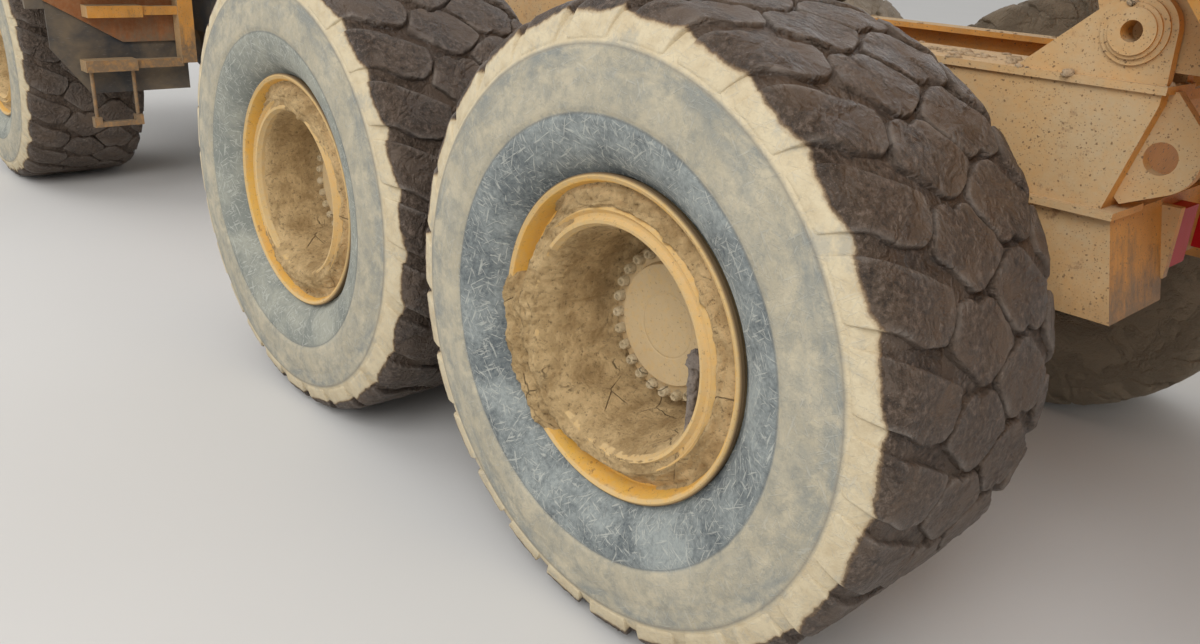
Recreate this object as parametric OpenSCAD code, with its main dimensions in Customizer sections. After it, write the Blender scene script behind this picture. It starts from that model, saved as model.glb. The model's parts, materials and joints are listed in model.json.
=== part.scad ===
// Articulated dump truck: a tractor and a rear frame with a tipping bed, joined by a steering hitch.
// Millimetres. +X is forward, +Y is left and +Z is up. The ground is z = 0.

/* [Wheels and tyres] */
// Outside diameter of a tyre over its lugs
tyre_d = 1624; // [1560:2:1680]
// Width of a tyre at its widest
tyre_w = 744; // [700:2:770]
// Depth of the tread between two lugs
lug_depth = 38; // [25:1:45]
// Lugs on each shoulder of a tyre
lug_count = 26; // [22:1:30]
// Outside diameter of the rim flange
flange_d = 824; // [790:2:850]
// Distance of the rim flange from the tyre's middle plane
flange_out = 305; // [295:1:315]
// Distance of a tyre's middle plane from the truck's middle plane
wheel_y = 1170; // [1150:2:1200]
// Radius of the opening in the outer face of a rim
mouth_r = 293; // [280:1:300]
// Radius of the wheel spindle
spindle_r = 95; // [85:1:105]

/* [Layout] */
// Gap between the two rear tyres of one side
bogie_gap = 46; // [30:2:80]
// Distance from the front axle to the foremost rear axle
front_span = 4150; // [4100:5:4200]
// Distance of the steering pivot behind the front axle
hitch_back = 1670; // [1640:5:1700]
// Height of the hitch above the axles
hitch_up = 268; // [250:2:290]
// Distance of the bumper's front face ahead of the front axle
nose_out = 2380; // [2340:5:2440]

/* [Rear frame] */
// Distance of a rear rail's outer face from the middle plane
rail_y = 430; // [410:5:440]
// Height of the lower face of the rear rails above the axles
rail_up = 370; // [350:2:390]
// Depth of the rear rails
rail_h = 303; // [290:1:310]
// Width of a rail's flange
rail_flange = 110; // [90:5:120]
// Thickness of the frame plates
frame_t = 18; // [12:1:24]
// Length of the tail behind the rearmost axle
tail_back = 800; // [780:5:820]
// Half width of the tail over its flanges
tail_half = 605; // [595:5:620]
// Depth of the tail's legs below the rails
leg_depth = 265; // [230:5:280]
// Radius of the hole in a tow plate
tow_hole_r = 38; // [30:1:42]

/* [Bed] */
// Distance of the tipping hinge behind the rearmost axle
bed_hinge_back = 700; // [680:5:720]
// Height of the tipping hinge above the rails
hinge_up = 109; // [105:1:115]
// Angle of the raised bed
bed_raise = 68; // [60:1:70]
// Radius of the tipping hinge pin
bed_pin_r = 52; // [45:1:58]
// Outside half width of the bed
bed_half = 1430; // [1400:5:1450]
// Half width of the flat floor
bed_floor_half = 600; // [580:5:620]
// Height of the flat floor's lower face above the rails
floor_up = 105; // [103:1:115]
// Height of the bed from its floor to the top of its sides
bed_h = 1190; // [1110:10:1260]
// Foremost point of the front wall at its top
bed_front_x = 4010; // [3900:10:4020]
// Distance of the tail lip behind the rearmost axle
bed_tail_back = 1780; // [1700:10:1840]
// Slope of the tail chute
chute_angle = 24; // [20:1:26]
// Thickness of the bed plates
bed_t = 16; // [10:1:22]
// Height of the ribs on the bed's outside
bed_rib = 60; // [40:5:70]
// Distance from one rib to the next
rib_step = 940; // [900:5:960]

/* [Hoist cylinders] */
// Distance of a hoist cylinder from the middle plane
hoist_y = 530; // [520:2:540]
// Distance of the lower hoist pin ahead of the rearmost axle
hoist_base_x = 2000; // [1980:5:2040]
// Drop of the lower hoist pin below the rails
hoist_base_drop = 182; // [172:2:192]
// Distance of the bed's hoist pin ahead of the rearmost axle, bed down
hoist_eye_x = 0; // [-20:5:30]
// Drop of the bed's hoist pin below the floor, bed down
hoist_eye_drop = 190; // [180:2:200]
// Outside radius of a hoist barrel
hoist_r = 68; // [60:1:72]
// Radius of a hoist rod
hoist_rod_r = 40; // [35:1:45]
// Length of a hoist barrel from its pin to its gland
hoist_barrel_len = 1480; // [1440:10:1500]

/* [Steering cylinders] */
// Distance of a steering cylinder's fixed pin ahead of the pivot
steer_base_x = 600; // [580:5:620]
// Distance of a steering cylinder's fixed pin from the middle plane
steer_base_y = 400; // [390:5:410]
// Distance of a steering cylinder's rod pin behind the pivot
steer_eye_x = 200; // [190:5:210]
// Distance of a steering cylinder's rod pin from the middle plane
steer_eye_y = 260; // [250:5:270]
// Outside radius of a steering barrel
steer_r = 50; // [42:1:54]
// Radius of a steering rod
steer_rod_r = 28; // [22:1:32]
// Length of a steering barrel from its pin to its gland
steer_barrel_len = 500; // [490:5:510]

/* [Tractor] */
// Distance of a front rail's outer face from the middle plane
front_rail_y = 450; // [440:5:460]
// Height of the lower face of the front rails above the axles
front_rail_up = 173; // [163:2:183]
// Depth of the front rails
front_rail_h = 250; // [240:5:260]
// Half width of the cab
cab_half = 760; // [745:5:770]
// Length of the cab
cab_len = 1420; // [1380:10:1440]
// Distance of the cab's rear face behind the front axle
cab_back = 900; // [880:10:920]
// Height of the cab's underside above the tyres
cab_up = 106; // [102:2:130]
// Height of the cab
cab_h = 1700; // [1660:10:1730]
// Thickness of the cab's walls and door
cab_t = 50; // [40:1:60]
// Thickness of the window glass
glass_t = 6; // [5:1:8]
// Height of the window sills above the cab's underside
sill_up = 510; // [480:10:560]
// Width of the door
door_w = 760; // [720:10:780]
// Half width of the hood
hood_half = 640; // [610:5:650]
// Height of the hood above the front rails at its nose
hood_nose_up = 785; // [730:5:820]
// Height of the hood above the front rails at the cab
hood_cowl_up = 1065; // [1020:5:1100]
// Thickness of the hood's walls
hood_t = 25; // [18:1:30]
// Half width of the bumper
bumper_half = 1240; // [1200:10:1300]
// Radius of the bore for the front tow pin
tow_pin_r = 26; // [20:1:32]
// Outside half width over the side panels and steps
side_half = 1490; // [1460:5:1500]

/* [Clearances] */
// Radial clearance between a pin or shaft and its bore
pin_gap = 0.08; // [0.05:0.01:0.1]
// Gap between two pieces that are fitted against each other
fit_gap = 0.3; // [0.2:0.05:0.5]
// Gap between two pieces that move past each other
move_gap = 10; // [8:1:15]

/* [Hidden] */
$fn = 64;
tyre_r = tyre_d / 2;
bogie_span = tyre_d + bogie_gap;
axle_z = tyre_r;
hitch_z = axle_z + hitch_up;
rail_z0 = axle_z + rail_up;
rail_z1 = rail_z0 + rail_h;
bed_hinge_z = rail_z1 + hinge_up;
bed_floor_z = rail_z1 + floor_up;
bed_top_z = bed_floor_z + bed_h;
hoist_base_z = rail_z0 - hoist_base_drop;
hoist_eye_z = bed_floor_z - hoist_eye_drop;
front_rail_z0 = axle_z + front_rail_up;
front_rail_z1 = front_rail_z0 + front_rail_h;
cab_z0 = tyre_d + cab_up;
cab_z1 = cab_z0 + cab_h;
sill_z = cab_z0 + sill_up;
hood_nose_z = front_rail_z1 + hood_nose_up;
hood_cowl_z = front_rail_z1 + hood_cowl_up;
rear_x = 0;
mid_x = bogie_span;
front_x = bogie_span + front_span;
pivot_x = front_x - hitch_back;
nose_x = front_x + nose_out;
bogie_x = bogie_span / 2;
hinge_x = -bed_hinge_back;
tail_x = -tail_back;
cab_x0 = front_x - cab_back;
cab_x1 = cab_x0 + cab_len;
hood_x0 = cab_x1 + move_gap;
hood_x1 = nose_x - 130;
axle_r = 115;
hub_r = 190;
hub_plate_r = 205;
hub_back = 120;
hub_out = 110;
bead_r = 322;
rail_x1 = pivot_x - 420;
trunnion_r = 130;
beam_y0 = 620;
beam_t = 110;
beam_tube_r = 80;
beam_tube_z = axle_z + 200;
stringer_h = bed_floor_z - rail_z1 - move_gap;
ear_gap = hoist_rod_r + 5;
bed_ear_y = rail_y + 52;
bed_ear_t = 66;
leg_z0 = rail_z0 - leg_depth;
tow_x = tail_x - 5;
tow_z = rail_z0 + 140;
tow_y = tail_half - 90;
flap_x = front_x - 950;
deck_z = tyre_d + 90;
outrigger_z = hitch_z + 270;
box_z1 = outrigger_z + 290;
box_x0 = pivot_x + 400;
bumper_z0 = front_rail_z0 - 85;
fork_gap = 258;
fork_t = 60;
hood_hinge_x = hood_x1 - 70;
hood_hinge_z = front_rail_z1 + 75;

// A point turned about the tipping hinge from the lowered to the raised bed
function raised(p) = [
    hinge_x + (p[0] - hinge_x) * cos(bed_raise) - (p[1] - bed_hinge_z) * sin(bed_raise),
    bed_hinge_z + (p[0] - hinge_x) * sin(bed_raise) + (p[1] - bed_hinge_z) * cos(bed_raise)];

// Rearmost point of the truck, at the top of the raised bed's tail
bed_tail_top_z = bed_top_z - 180;
back_x = raised([-bed_tail_back, bed_tail_top_z])[0];
origin_x = (nose_x + back_x) / 2;

paint = [0.90, 0.58, 0.12];
dark_paint = [0.16, 0.17, 0.19];
steel = [0.72, 0.72, 0.74];
rubber = [0.20, 0.20, 0.21];

// Plate whose outline is drawn in X and Z, from y0 to y0 + t
module side_plate(y0, t) {
    translate([0, y0 + t, 0]) rotate([90, 0, 0]) linear_extrude(t) children();
}

// Plate whose outline is drawn in Y and Z, from x0 to x0 + t
module cross_plate(x0, t) {
    translate([x0, 0, 0]) rotate([90, 0, 90]) linear_extrude(t) children();
}

// Block between two corners
module block(a, b) {
    translate(a) cube(b - a);
}

// Children on the left and mirrored on the right
module both_sides() {
    for (s = [0, 1]) mirror([0, s, 0]) children();
}

// Round bar or bore along Y, centred on x and z, from y0 to y1
module bar_y(x, z, r, y0, y1) {
    translate([x, y1, z]) rotate([90, 0, 0]) cylinder(r = r, h = y1 - y0);
}

// Tube along X from x0 to x1
module bar_x(x0, x1, y, z, r) {
    translate([x0, y, z]) rotate([0, 90, 0]) cylinder(r = r, h = x1 - x0);
}

// Solid of revolution about Y; its outline holds radius and distance along Y
module spin_y(sector = 360) {
    rotate([-90, 0, 0]) rotate_extrude(angle = sector, $fn = 96) children();
}

// Wheel at its place: x, side 1 for left or -1 for right; outboard is +Y in the child
module at_wheel(x, side) {
    translate([x, side * wheel_y, axle_z]) mirror([0, side < 0 ? 1 : 0, 0]) children();
}

// One half of a tyre's outline from bead to crown, as radius and distance from the middle
tyre_half = [
    [bead_r + fit_gap, 0], [bead_r + fit_gap, flange_out - 86], [bead_r + 16, flange_out - 76],
    [flange_d / 2 - 30, flange_out - 61.5], [flange_d / 2 - 4, flange_out - 27],
    [flange_d / 2 + 2, flange_out - 8], [flange_d / 2 + 7, flange_out + 2],
    [flange_d / 2 + 22, flange_out + 14],
    [500, tyre_w / 2 - 14], [575, tyre_w / 2], [660, tyre_w / 2 - 8],
    [700, tyre_w / 2 - 14], [tyre_r - lug_depth - 26, tyre_w / 2 - 42],
    [tyre_r - lug_depth, tyre_w / 2 - 90], [tyre_r - lug_depth, 0]];

// One lug of a shoulder, as radius and distance from the middle
lug_half = [
    [tyre_r - lug_depth - 12, 46], [tyre_r, 46], [tyre_r, tyre_w / 2 - 86],
    [tyre_r - 8, tyre_w / 2 - 62], [tyre_r - 34, tyre_w / 2 - 34], [tyre_r - 92, tyre_w / 2 - 18],
    [tyre_r - 92, tyre_w / 2 - 60]];

module tyre() {
    lug_angle = 360 / lug_count * 0.68;
    color(rubber) union() {
        for (s = [0, 1]) mirror([0, s, 0]) {
            spin_y() polygon(tyre_half);
            for (i = [0 : lug_count - 1])
                rotate([0, (i + s / 2) * 360 / lug_count, 0]) spin_y(lug_angle) polygon(lug_half);
        }
    }
}

// Rim and hub outline: flanges, gutter, inner ring, recess, hub plate and bore
module rim() {
    f = flange_d / 2;
    color(paint) difference() {
        spin_y() polygon([
            [0, 60], [spindle_r + pin_gap, 60], [spindle_r + pin_gap, -hub_back],
            [hub_r, -hub_back], [hub_r, 10], [288, 0], [288, -flange_out + 30], [330, -flange_out],
            [f - 12, -flange_out - 8], [f, -flange_out - 2], [f, -flange_out + 8],
            [f - 12, -flange_out + 14], [bead_r + 16, -flange_out + 20], [bead_r, -flange_out + 30],
            [bead_r - 6, -flange_out + 120], [306, -flange_out + 150], [306, flange_out - 150],
            [bead_r - 6, flange_out - 120], [bead_r, flange_out - 85], [bead_r + 16, flange_out - 75],
            [f - 30, flange_out - 60], [f - 6, flange_out - 25], [f, flange_out - 8],
            [f, flange_out + 2], [f - 8, flange_out + 8], [f - 18, flange_out + 2],
            // cone down to the floor of the gutter
            [f - 34, flange_out - 46], [mouth_r + 46, flange_out - 50],
            // two ridges of the inner ring
            [mouth_r + 40, flange_out - 8], [mouth_r + 33, flange_out + 2],
            [mouth_r + 24, flange_out - 7], [mouth_r + 16, flange_out - 7],
            [mouth_r + 8, flange_out + 6], [mouth_r, flange_out + 4],
            [mouth_r - 8, flange_out - 12], [mouth_r - 30, 60], [hub_plate_r, 40],
            [hub_plate_r, hub_out - 22], [hub_plate_r - 40, hub_out - 16],
            [hub_plate_r - 46, hub_out], [0, hub_out]]);
    }
}

// Axle housing with its bulging middle, its arms and its spindles
module axle(x, nose_dir) {
    arm_end = wheel_y - hub_back - 5;
    color(dark_paint) translate([x, 0, axle_z]) {
        both_sides() {
            bar_y(0, 0, axle_r, 0, arm_end - 60);
            bar_y(0, 0, axle_r + 45, arm_end - 60, arm_end);
            bar_y(0, 0, spindle_r, arm_end, wheel_y + 55);
        }
        sphere(r = 230);
        rotate([0, nose_dir * 90, 0]) cylinder(r1 = 170, r2 = 90, h = 330);
    }
}

// Drive shaft between the two rear axles, with a joint at each end
module rear_shaft() {
    color(dark_paint) {
        bar_x(rear_x + 320, mid_x - 220, 0, axle_z, 45);
        for (x = [rear_x + 330, mid_x - 290]) bar_x(x, x + 70, 0, axle_z, 78);
    }
}

// Bed sections in Y and Z: outside grown by g, and the hollow inside
function bed_section(g, top) = [
    [-bed_floor_half - g * 0.4, bed_floor_z - g],
    [bed_floor_half + g * 0.4, bed_floor_z - g],
    [bed_half + g, bed_floor_z + bed_half - bed_floor_half - g * 0.4],
    [bed_half + g, top], [-bed_half - g, top],
    [-bed_half - g, bed_floor_z + bed_half - bed_floor_half - g * 0.4]];

// Side view of the bed in X and Z, shrunk by g at the floor, the front wall and the chute
function bed_profile(g, over) = [
    [hinge_x + 400, bed_floor_z + g], [bed_front_x - 330 - g, bed_floor_z + g],
    [bed_front_x - g, bed_top_z + over], [hinge_x + 500, bed_top_z + over],
    [-bed_tail_back - over, bed_tail_top_z + over],
    [-bed_tail_back - over, bed_floor_z + g / cos(chute_angle)
        + (bed_tail_back + over + hinge_x + 400) * tan(chute_angle)]];

module bed_lowered() {
    // plates of the floor, the chute, the front wall and the sides
    difference() {
        intersection() {
            cross_plate(-3000, 8000) polygon(bed_section(0, 4000));
            side_plate(-2000, 4000) polygon(bed_profile(0, 0));
        }
        intersection() {
            cross_plate(-3000, 8000) polygon(bed_section(-bed_t, 4000));
            side_plate(-2000, 4000) polygon(bed_profile(bed_t, 300));
        }
    }
    // ribs around the outside, cut where the stringers pass
    for (i = [0 : 3])
        let (x = hinge_x + 1100 + i * rib_step) difference() {
            cross_plate(x, 110) polygon(bed_section(bed_rib, bed_top_z - 40));
            cross_plate(x - 1, 112) polygon(bed_section(-bed_t / 2, 4000));
            both_sides() block([x - 1, rail_y - rail_flange - fit_gap, bed_floor_z - 500],
                [x + 111, rail_y - 10 + fit_gap, bed_floor_z]);
        }
    // rail along the top of the side
    both_sides() block([hinge_x + 500, bed_half - bed_t / 2, bed_top_z - 90],
        [bed_front_x - 60, bed_half + bed_rib, bed_top_z]);
}

// Children turned from the lowered to the raised bed
module raise_bed() {
    translate([hinge_x, 0, bed_hinge_z]) rotate([0, -bed_raise, 0])
        translate([-hinge_x, 0, -bed_hinge_z]) children();
}

module dump_bed() {
    color(paint) raise_bed() bed_lowered();
}

// What carries the bed: stringers, hinge ears and hoist ears, against its lower face
module bed_underframe() {
    ear_r = bed_pin_r + 36;
    seat_z = bed_floor_z - fit_gap;
    color(paint) raise_bed() both_sides() {
        // stringer on the frame rail
        block([hinge_x + 420, rail_y - rail_flange, bed_floor_z - stringer_h],
            [bed_front_x - 420, rail_y - 10, seat_z]);
        // hinge ear below the chute
        difference() {
            side_plate(bed_ear_y, bed_ear_t) union() {
                translate([hinge_x, bed_hinge_z]) circle(r = ear_r);
                polygon([[hinge_x - ear_r, bed_hinge_z], [hinge_x + 10, bed_hinge_z - ear_r + 2],
                    [hinge_x + 520, bed_floor_z - stringer_h + 20], [hinge_x + 520, seat_z],
                    [hinge_x + 400, seat_z],
                    [hinge_x - 196, seat_z + 596 * tan(chute_angle)]]);
            }
            bar_y(hinge_x, bed_hinge_z, bed_pin_r + pin_gap, 0, 1000);
        }
        // ears for the hoist rod
        for (y = [hoist_y - ear_gap - 22, hoist_y + ear_gap])
            side_plate(y, 22) {
                translate([hoist_eye_x, hoist_eye_z]) circle(r = 60);
                polygon([[hoist_eye_x - 60, hoist_eye_z], [hoist_eye_x + 60, hoist_eye_z],
                    [hoist_eye_x + 130, seat_z], [hoist_eye_x - 130, seat_z]]);
            }
    }
}

module rear_frame() {
    rail_x0 = tail_x + 115;
    color(paint) both_sides() {
        // rail: a channel with its web outside
        side_plate(rail_y - frame_t, frame_t) polygon([
            [rail_x0, rail_z0], [rail_x1, rail_z0 - 60], [rail_x1, rail_z1 - 60],
            [rail_x1 - 900, rail_z1], [rail_x0, rail_z1]]);
        side_plate(rail_y - rail_flange, rail_flange - frame_t) {
            polygon([[rail_x0, rail_z1 - frame_t], [rail_x0, rail_z1], [rail_x1 - 900, rail_z1],
                [rail_x1, rail_z1 - 60], [rail_x1, rail_z1 - 60 - frame_t],
                [rail_x1 - 900, rail_z1 - frame_t]]);
            polygon([[rail_x0, rail_z0], [rail_x1, rail_z0 - 60],
                [rail_x1, rail_z0 - 60 + frame_t], [rail_x0, rail_z0 + frame_t]]);
        }
        // bracket that carries the walking beam tube
        side_plate(rail_y - 60, 60) polygon([
            [bogie_x - 330, rail_z0 + 4], [bogie_x + 330, rail_z0 + 4],
            [bogie_x + 120, beam_tube_z - 70], [bogie_x - 120, beam_tube_z - 70]]);
        // bracket and pin of the hoist barrel
        side_plate(rail_y - frame_t, 38) polygon([
            [hoist_base_x - 150, rail_z0 + 10], [hoist_base_x + 200, rail_z0 + 10],
            [hoist_base_x + 70, hoist_base_z - 70], [hoist_base_x - 70, hoist_base_z - 70]]);
        bar_y(hoist_base_x, hoist_base_z, 38, rail_y, hoist_y + 60);
    }
    color(paint) {
        // cross members
        for (x = [rail_x0 + 460, 900, 2350, rail_x1 - 700])
            block([x, -rail_y + 10, rail_z0 + 40], [x + 140, rail_y - 10, rail_z0 + 200]);
        bar_y(bogie_x, beam_tube_z, beam_tube_r, -beam_y0 - beam_t - 40, beam_y0 + beam_t + 40);
        // bearing of the hitch
        difference() {
            union() {
                bar_x(rail_x1 - 420, rail_x1 + 20, 0, hitch_z, trunnion_r + 60);
                cross_plate(rail_x1 - 60, 60) polygon([
                    [-rail_y, rail_z0 - 60], [rail_y, rail_z0 - 60], [rail_y, rail_z1 - 70],
                    [-rail_y, rail_z1 - 70]]);
                cross_plate(rail_x1 - 60, 60) polygon([
                    [-250, hitch_z - 160], [250, hitch_z - 160], [rail_y, rail_z0 - 50],
                    [-rail_y, rail_z0 - 50]]);
                cross_plate(rail_x1 - 420, 40) polygon([
                    [-200, hitch_z - 150], [200, hitch_z - 150], [rail_y, rail_z0 - 40],
                    [rail_y, rail_z1 - 70], [-rail_y, rail_z1 - 70], [-rail_y, rail_z0 - 40]]);
            }
            bar_x(rail_x1 - 500, rail_x1 + 100, 0, hitch_z, trunnion_r + pin_gap);
        }
    }
}

// Slanted rear outline of the tail's upper box, moved forward by g, as points from top to bottom
function tail_slant(g) = [
    [tail_x + 12 + g, rail_z1 - frame_t], [tail_x + 12 + g, rail_z1 - 42], [tail_x + 84 + g, rail_z0]];

module tail_frame() {
    side_y = tail_half - 12;
    color(paint) both_sides() {
        // side plate of the upper box
        side_plate(side_y - frame_t, frame_t) polygon(concat(tail_slant(0),
            [[tail_x + 560, rail_z0], [tail_x + 680, rail_z1 - frame_t]]));
        // flange above it and lip below it
        block([tail_x, rail_y, rail_z1 - frame_t], [tail_x + 680, tail_half, rail_z1]);
        block([tail_x + 44, rail_y, rail_z0 - 10], [tail_x + 560, tail_half + 10, rail_z0 + 8]);
        // hinge plates on both sides of the bed's ear, with rings around the pin
        difference() {
            union() {
                for (y = [rail_y, tail_half - 45]) side_plate(y, y > rail_y ? 30 : 40) {
                    translate([hinge_x, bed_hinge_z]) circle(r = 88);
                    polygon([[hinge_x + 264, rail_z1 - 5], [hinge_x + 60, bed_hinge_z + 64],
                        [hinge_x - 88, bed_hinge_z], [hinge_x - 92, rail_z1 - 5]]);
                }
                bar_y(hinge_x, bed_hinge_z, 74, tail_half - 15, tail_half - 6);
                bar_y(hinge_x, bed_hinge_z, 61, tail_half - 15, tail_half + 2);
                bar_y(hinge_x, bed_hinge_z, bed_pin_r, rail_y + 5, tail_half + 10);
            }
            bar_y(hinge_x, bed_hinge_z, 24, tail_half - 60, tail_half + 40);
        }
        // tow plate
        difference() {
            side_plate(tow_y, 35) {
                translate([tow_x, tow_z]) circle(r = tow_hole_r + 47);
                polygon([[tow_x - 2, rail_z1 - 13], [tow_x - 68, tow_z + 78],
                    [tow_x - tow_hole_r - 46, tow_z + 8], [tow_x, tow_z], [tow_x - 29, tow_z - 80],
                    [tow_x + 64, rail_z0 + 20], [tow_x + 110, rail_z0 + 60], [tow_x + 60, rail_z1 - 13]]);
            }
            bar_y(tow_x, tow_z, tow_hole_r, 0, 1000);
        }
        // leg below the box
        side_plate(rail_y + 2, side_y - rail_y - 10) polygon([
            [tail_x, leg_z0], [tail_x + 60, rail_z0], [tail_x + 330, rail_z0],
            [tail_x + 330, leg_z0 + 80], [tail_x + 250, leg_z0]]);
        side_plate(260, rail_y - 258) polygon([
            [tail_x, leg_z0], [tail_x + 58, rail_z0 - 8], [tail_x + 330, rail_z0 - 8],
            [tail_x + 330, leg_z0 + 80], [tail_x + 250, leg_z0]]);
    }
    color(paint) {
        // slanted plate that closes the box behind, and the beam between the legs
        side_plate(-side_y + 4, 2 * side_y - 8) polygon(concat(tail_slant(0), [
            tail_slant(frame_t)[2], tail_slant(frame_t)[1], tail_slant(frame_t)[0]]));
        block([tail_x + 62, -262, leg_z0 + 60], [tail_x + 220, 262, rail_z0 - 8]);
        // guards beside the lamps
        both_sides() block([tail_x + 8, 234, leg_z0 + 56], [tail_x + 80, 264, leg_z0 + 244]);
    }
}

module walking_beams() {
    color(dark_paint) both_sides() difference() {
        union() {
            side_plate(beam_y0, beam_t) polygon([
                [rear_x - 150, axle_z - 150], [rear_x + 150, axle_z - 150],
                [bogie_x - 200, axle_z + 20], [bogie_x + 200, axle_z + 20],
                [mid_x - 150, axle_z - 150], [mid_x + 150, axle_z - 150],
                [mid_x + 170, axle_z + 150], [bogie_x + 150, axle_z + 320],
                [bogie_x - 150, axle_z + 320], [rear_x - 170, axle_z + 150]]);
        }
        bar_y(bogie_x, beam_tube_z, beam_tube_r + fit_gap, 0, 1000);
        for (x = [rear_x, mid_x]) bar_y(x, axle_z, axle_r + fit_gap, 0, 1000);
    }
}

module tail_lamps() {
    color([0.75, 0.08, 0.06]) both_sides()
        block([tail_x + 20, 90, leg_z0 + 70], [tail_x + 62 - fit_gap, 230, leg_z0 + 230]);
}

// Barrel of a cylinder: pin end at the origin, along +X, with a bore for the rod
module barrel(r, rod_r, len, pin_r, eye_w) {
    color(dark_paint) difference() {
        union() {
            bar_y(0, 0, r * 0.95, -eye_w / 2, eye_w / 2);
            bar_x(20, len, 0, 0, r);
            bar_x(len - 50, len, 0, 0, r + 8);
        }
        bar_y(0, 0, pin_r + pin_gap, -r * 2, r * 2);
        bar_x(r + 60, len + 1, 0, 0, rod_r + pin_gap);
    }
}

// Rod of a cylinder: the eye at the origin, the rod along -X
module rod(rod_r, len, eye_r, eye_bore, eye_w) {
    color(steel) difference() {
        union() {
            bar_y(0, 0, eye_r, -eye_w / 2, eye_w / 2);
            bar_x(-len, -eye_r * 0.6, 0, 0, rod_r);
        }
        bar_y(0, 0, eye_bore, -eye_w, eye_w);
    }
}

hoist_eye = raised([hoist_eye_x, hoist_eye_z]);
hoist_dx = hoist_eye[0] - hoist_base_x;
hoist_dz = hoist_eye[1] - hoist_base_z;
hoist_span = sqrt(hoist_dx * hoist_dx + hoist_dz * hoist_dz);
hoist_tilt = atan2(hoist_dz, hoist_dx);

module hoist_barrel(side) {
    translate([hoist_base_x, side * hoist_y, hoist_base_z]) rotate([0, -hoist_tilt, 0])
        barrel(hoist_r, hoist_rod_r, hoist_barrel_len, 38, 56);
}

module hoist_rod(side) {
    translate([hoist_eye[0], side * hoist_y, hoist_eye[1]]) rotate([0, -hoist_tilt, 0])
        rod(hoist_rod_r, hoist_span - hoist_barrel_len + 220, 55, 38, 2 * hoist_rod_r + 4);
}

steer_dx = -steer_eye_x - steer_base_x;
steer_dy = steer_eye_y - steer_base_y;
steer_span = sqrt(steer_dx * steer_dx + steer_dy * steer_dy);
steer_turn = atan2(steer_dy, steer_dx);

module steer_barrel(side) {
    mirror([0, side < 0 ? 1 : 0, 0]) translate([pivot_x + steer_base_x, steer_base_y, hitch_z])
        rotate([0, 0, steer_turn]) rotate([90, 0, 0]) barrel(steer_r, steer_rod_r, steer_barrel_len, 25, 50);
}

module steer_rod(side) {
    mirror([0, side < 0 ? 1 : 0, 0]) translate([pivot_x - steer_eye_x, steer_eye_y, hitch_z])
        rotate([0, 0, steer_turn]) rotate([90, 0, 0])
            rod(steer_rod_r, steer_span - steer_barrel_len + 160, 42, 25, 50);
}

module hitch() {
    color(dark_paint) difference() {
        union() {
            bar_x(rail_x1 - 460, pivot_x - 120, 0, hitch_z, trunnion_r);
            bar_x(rail_x1 - 490, rail_x1 - 425, 0, hitch_z, trunnion_r + 40);
            bar_x(rail_x1 + 25, rail_x1 + 75, 0, hitch_z, trunnion_r + 40);
            translate([pivot_x, 0, hitch_z - 250]) cylinder(r = 150, h = 500);
            // ears for the steering rods
            for (z = [hitch_z - 25 - 8 - 28, hitch_z + 25 + 8])
                translate([0, 0, z]) linear_extrude(28) union() {
                    polygon([[pivot_x - 330, -120], [pivot_x - 250, -steer_eye_y - 45],
                        [pivot_x - 150, -steer_eye_y - 45], [pivot_x - 60, -110],
                        [pivot_x - 60, 110], [pivot_x - 150, steer_eye_y + 45],
                        [pivot_x - 250, steer_eye_y + 45], [pivot_x - 330, 120]]);
                }
        }
        translate([pivot_x, 0, hitch_z - 300]) cylinder(r = 60 + pin_gap, h = 600);
    }
}

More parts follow.
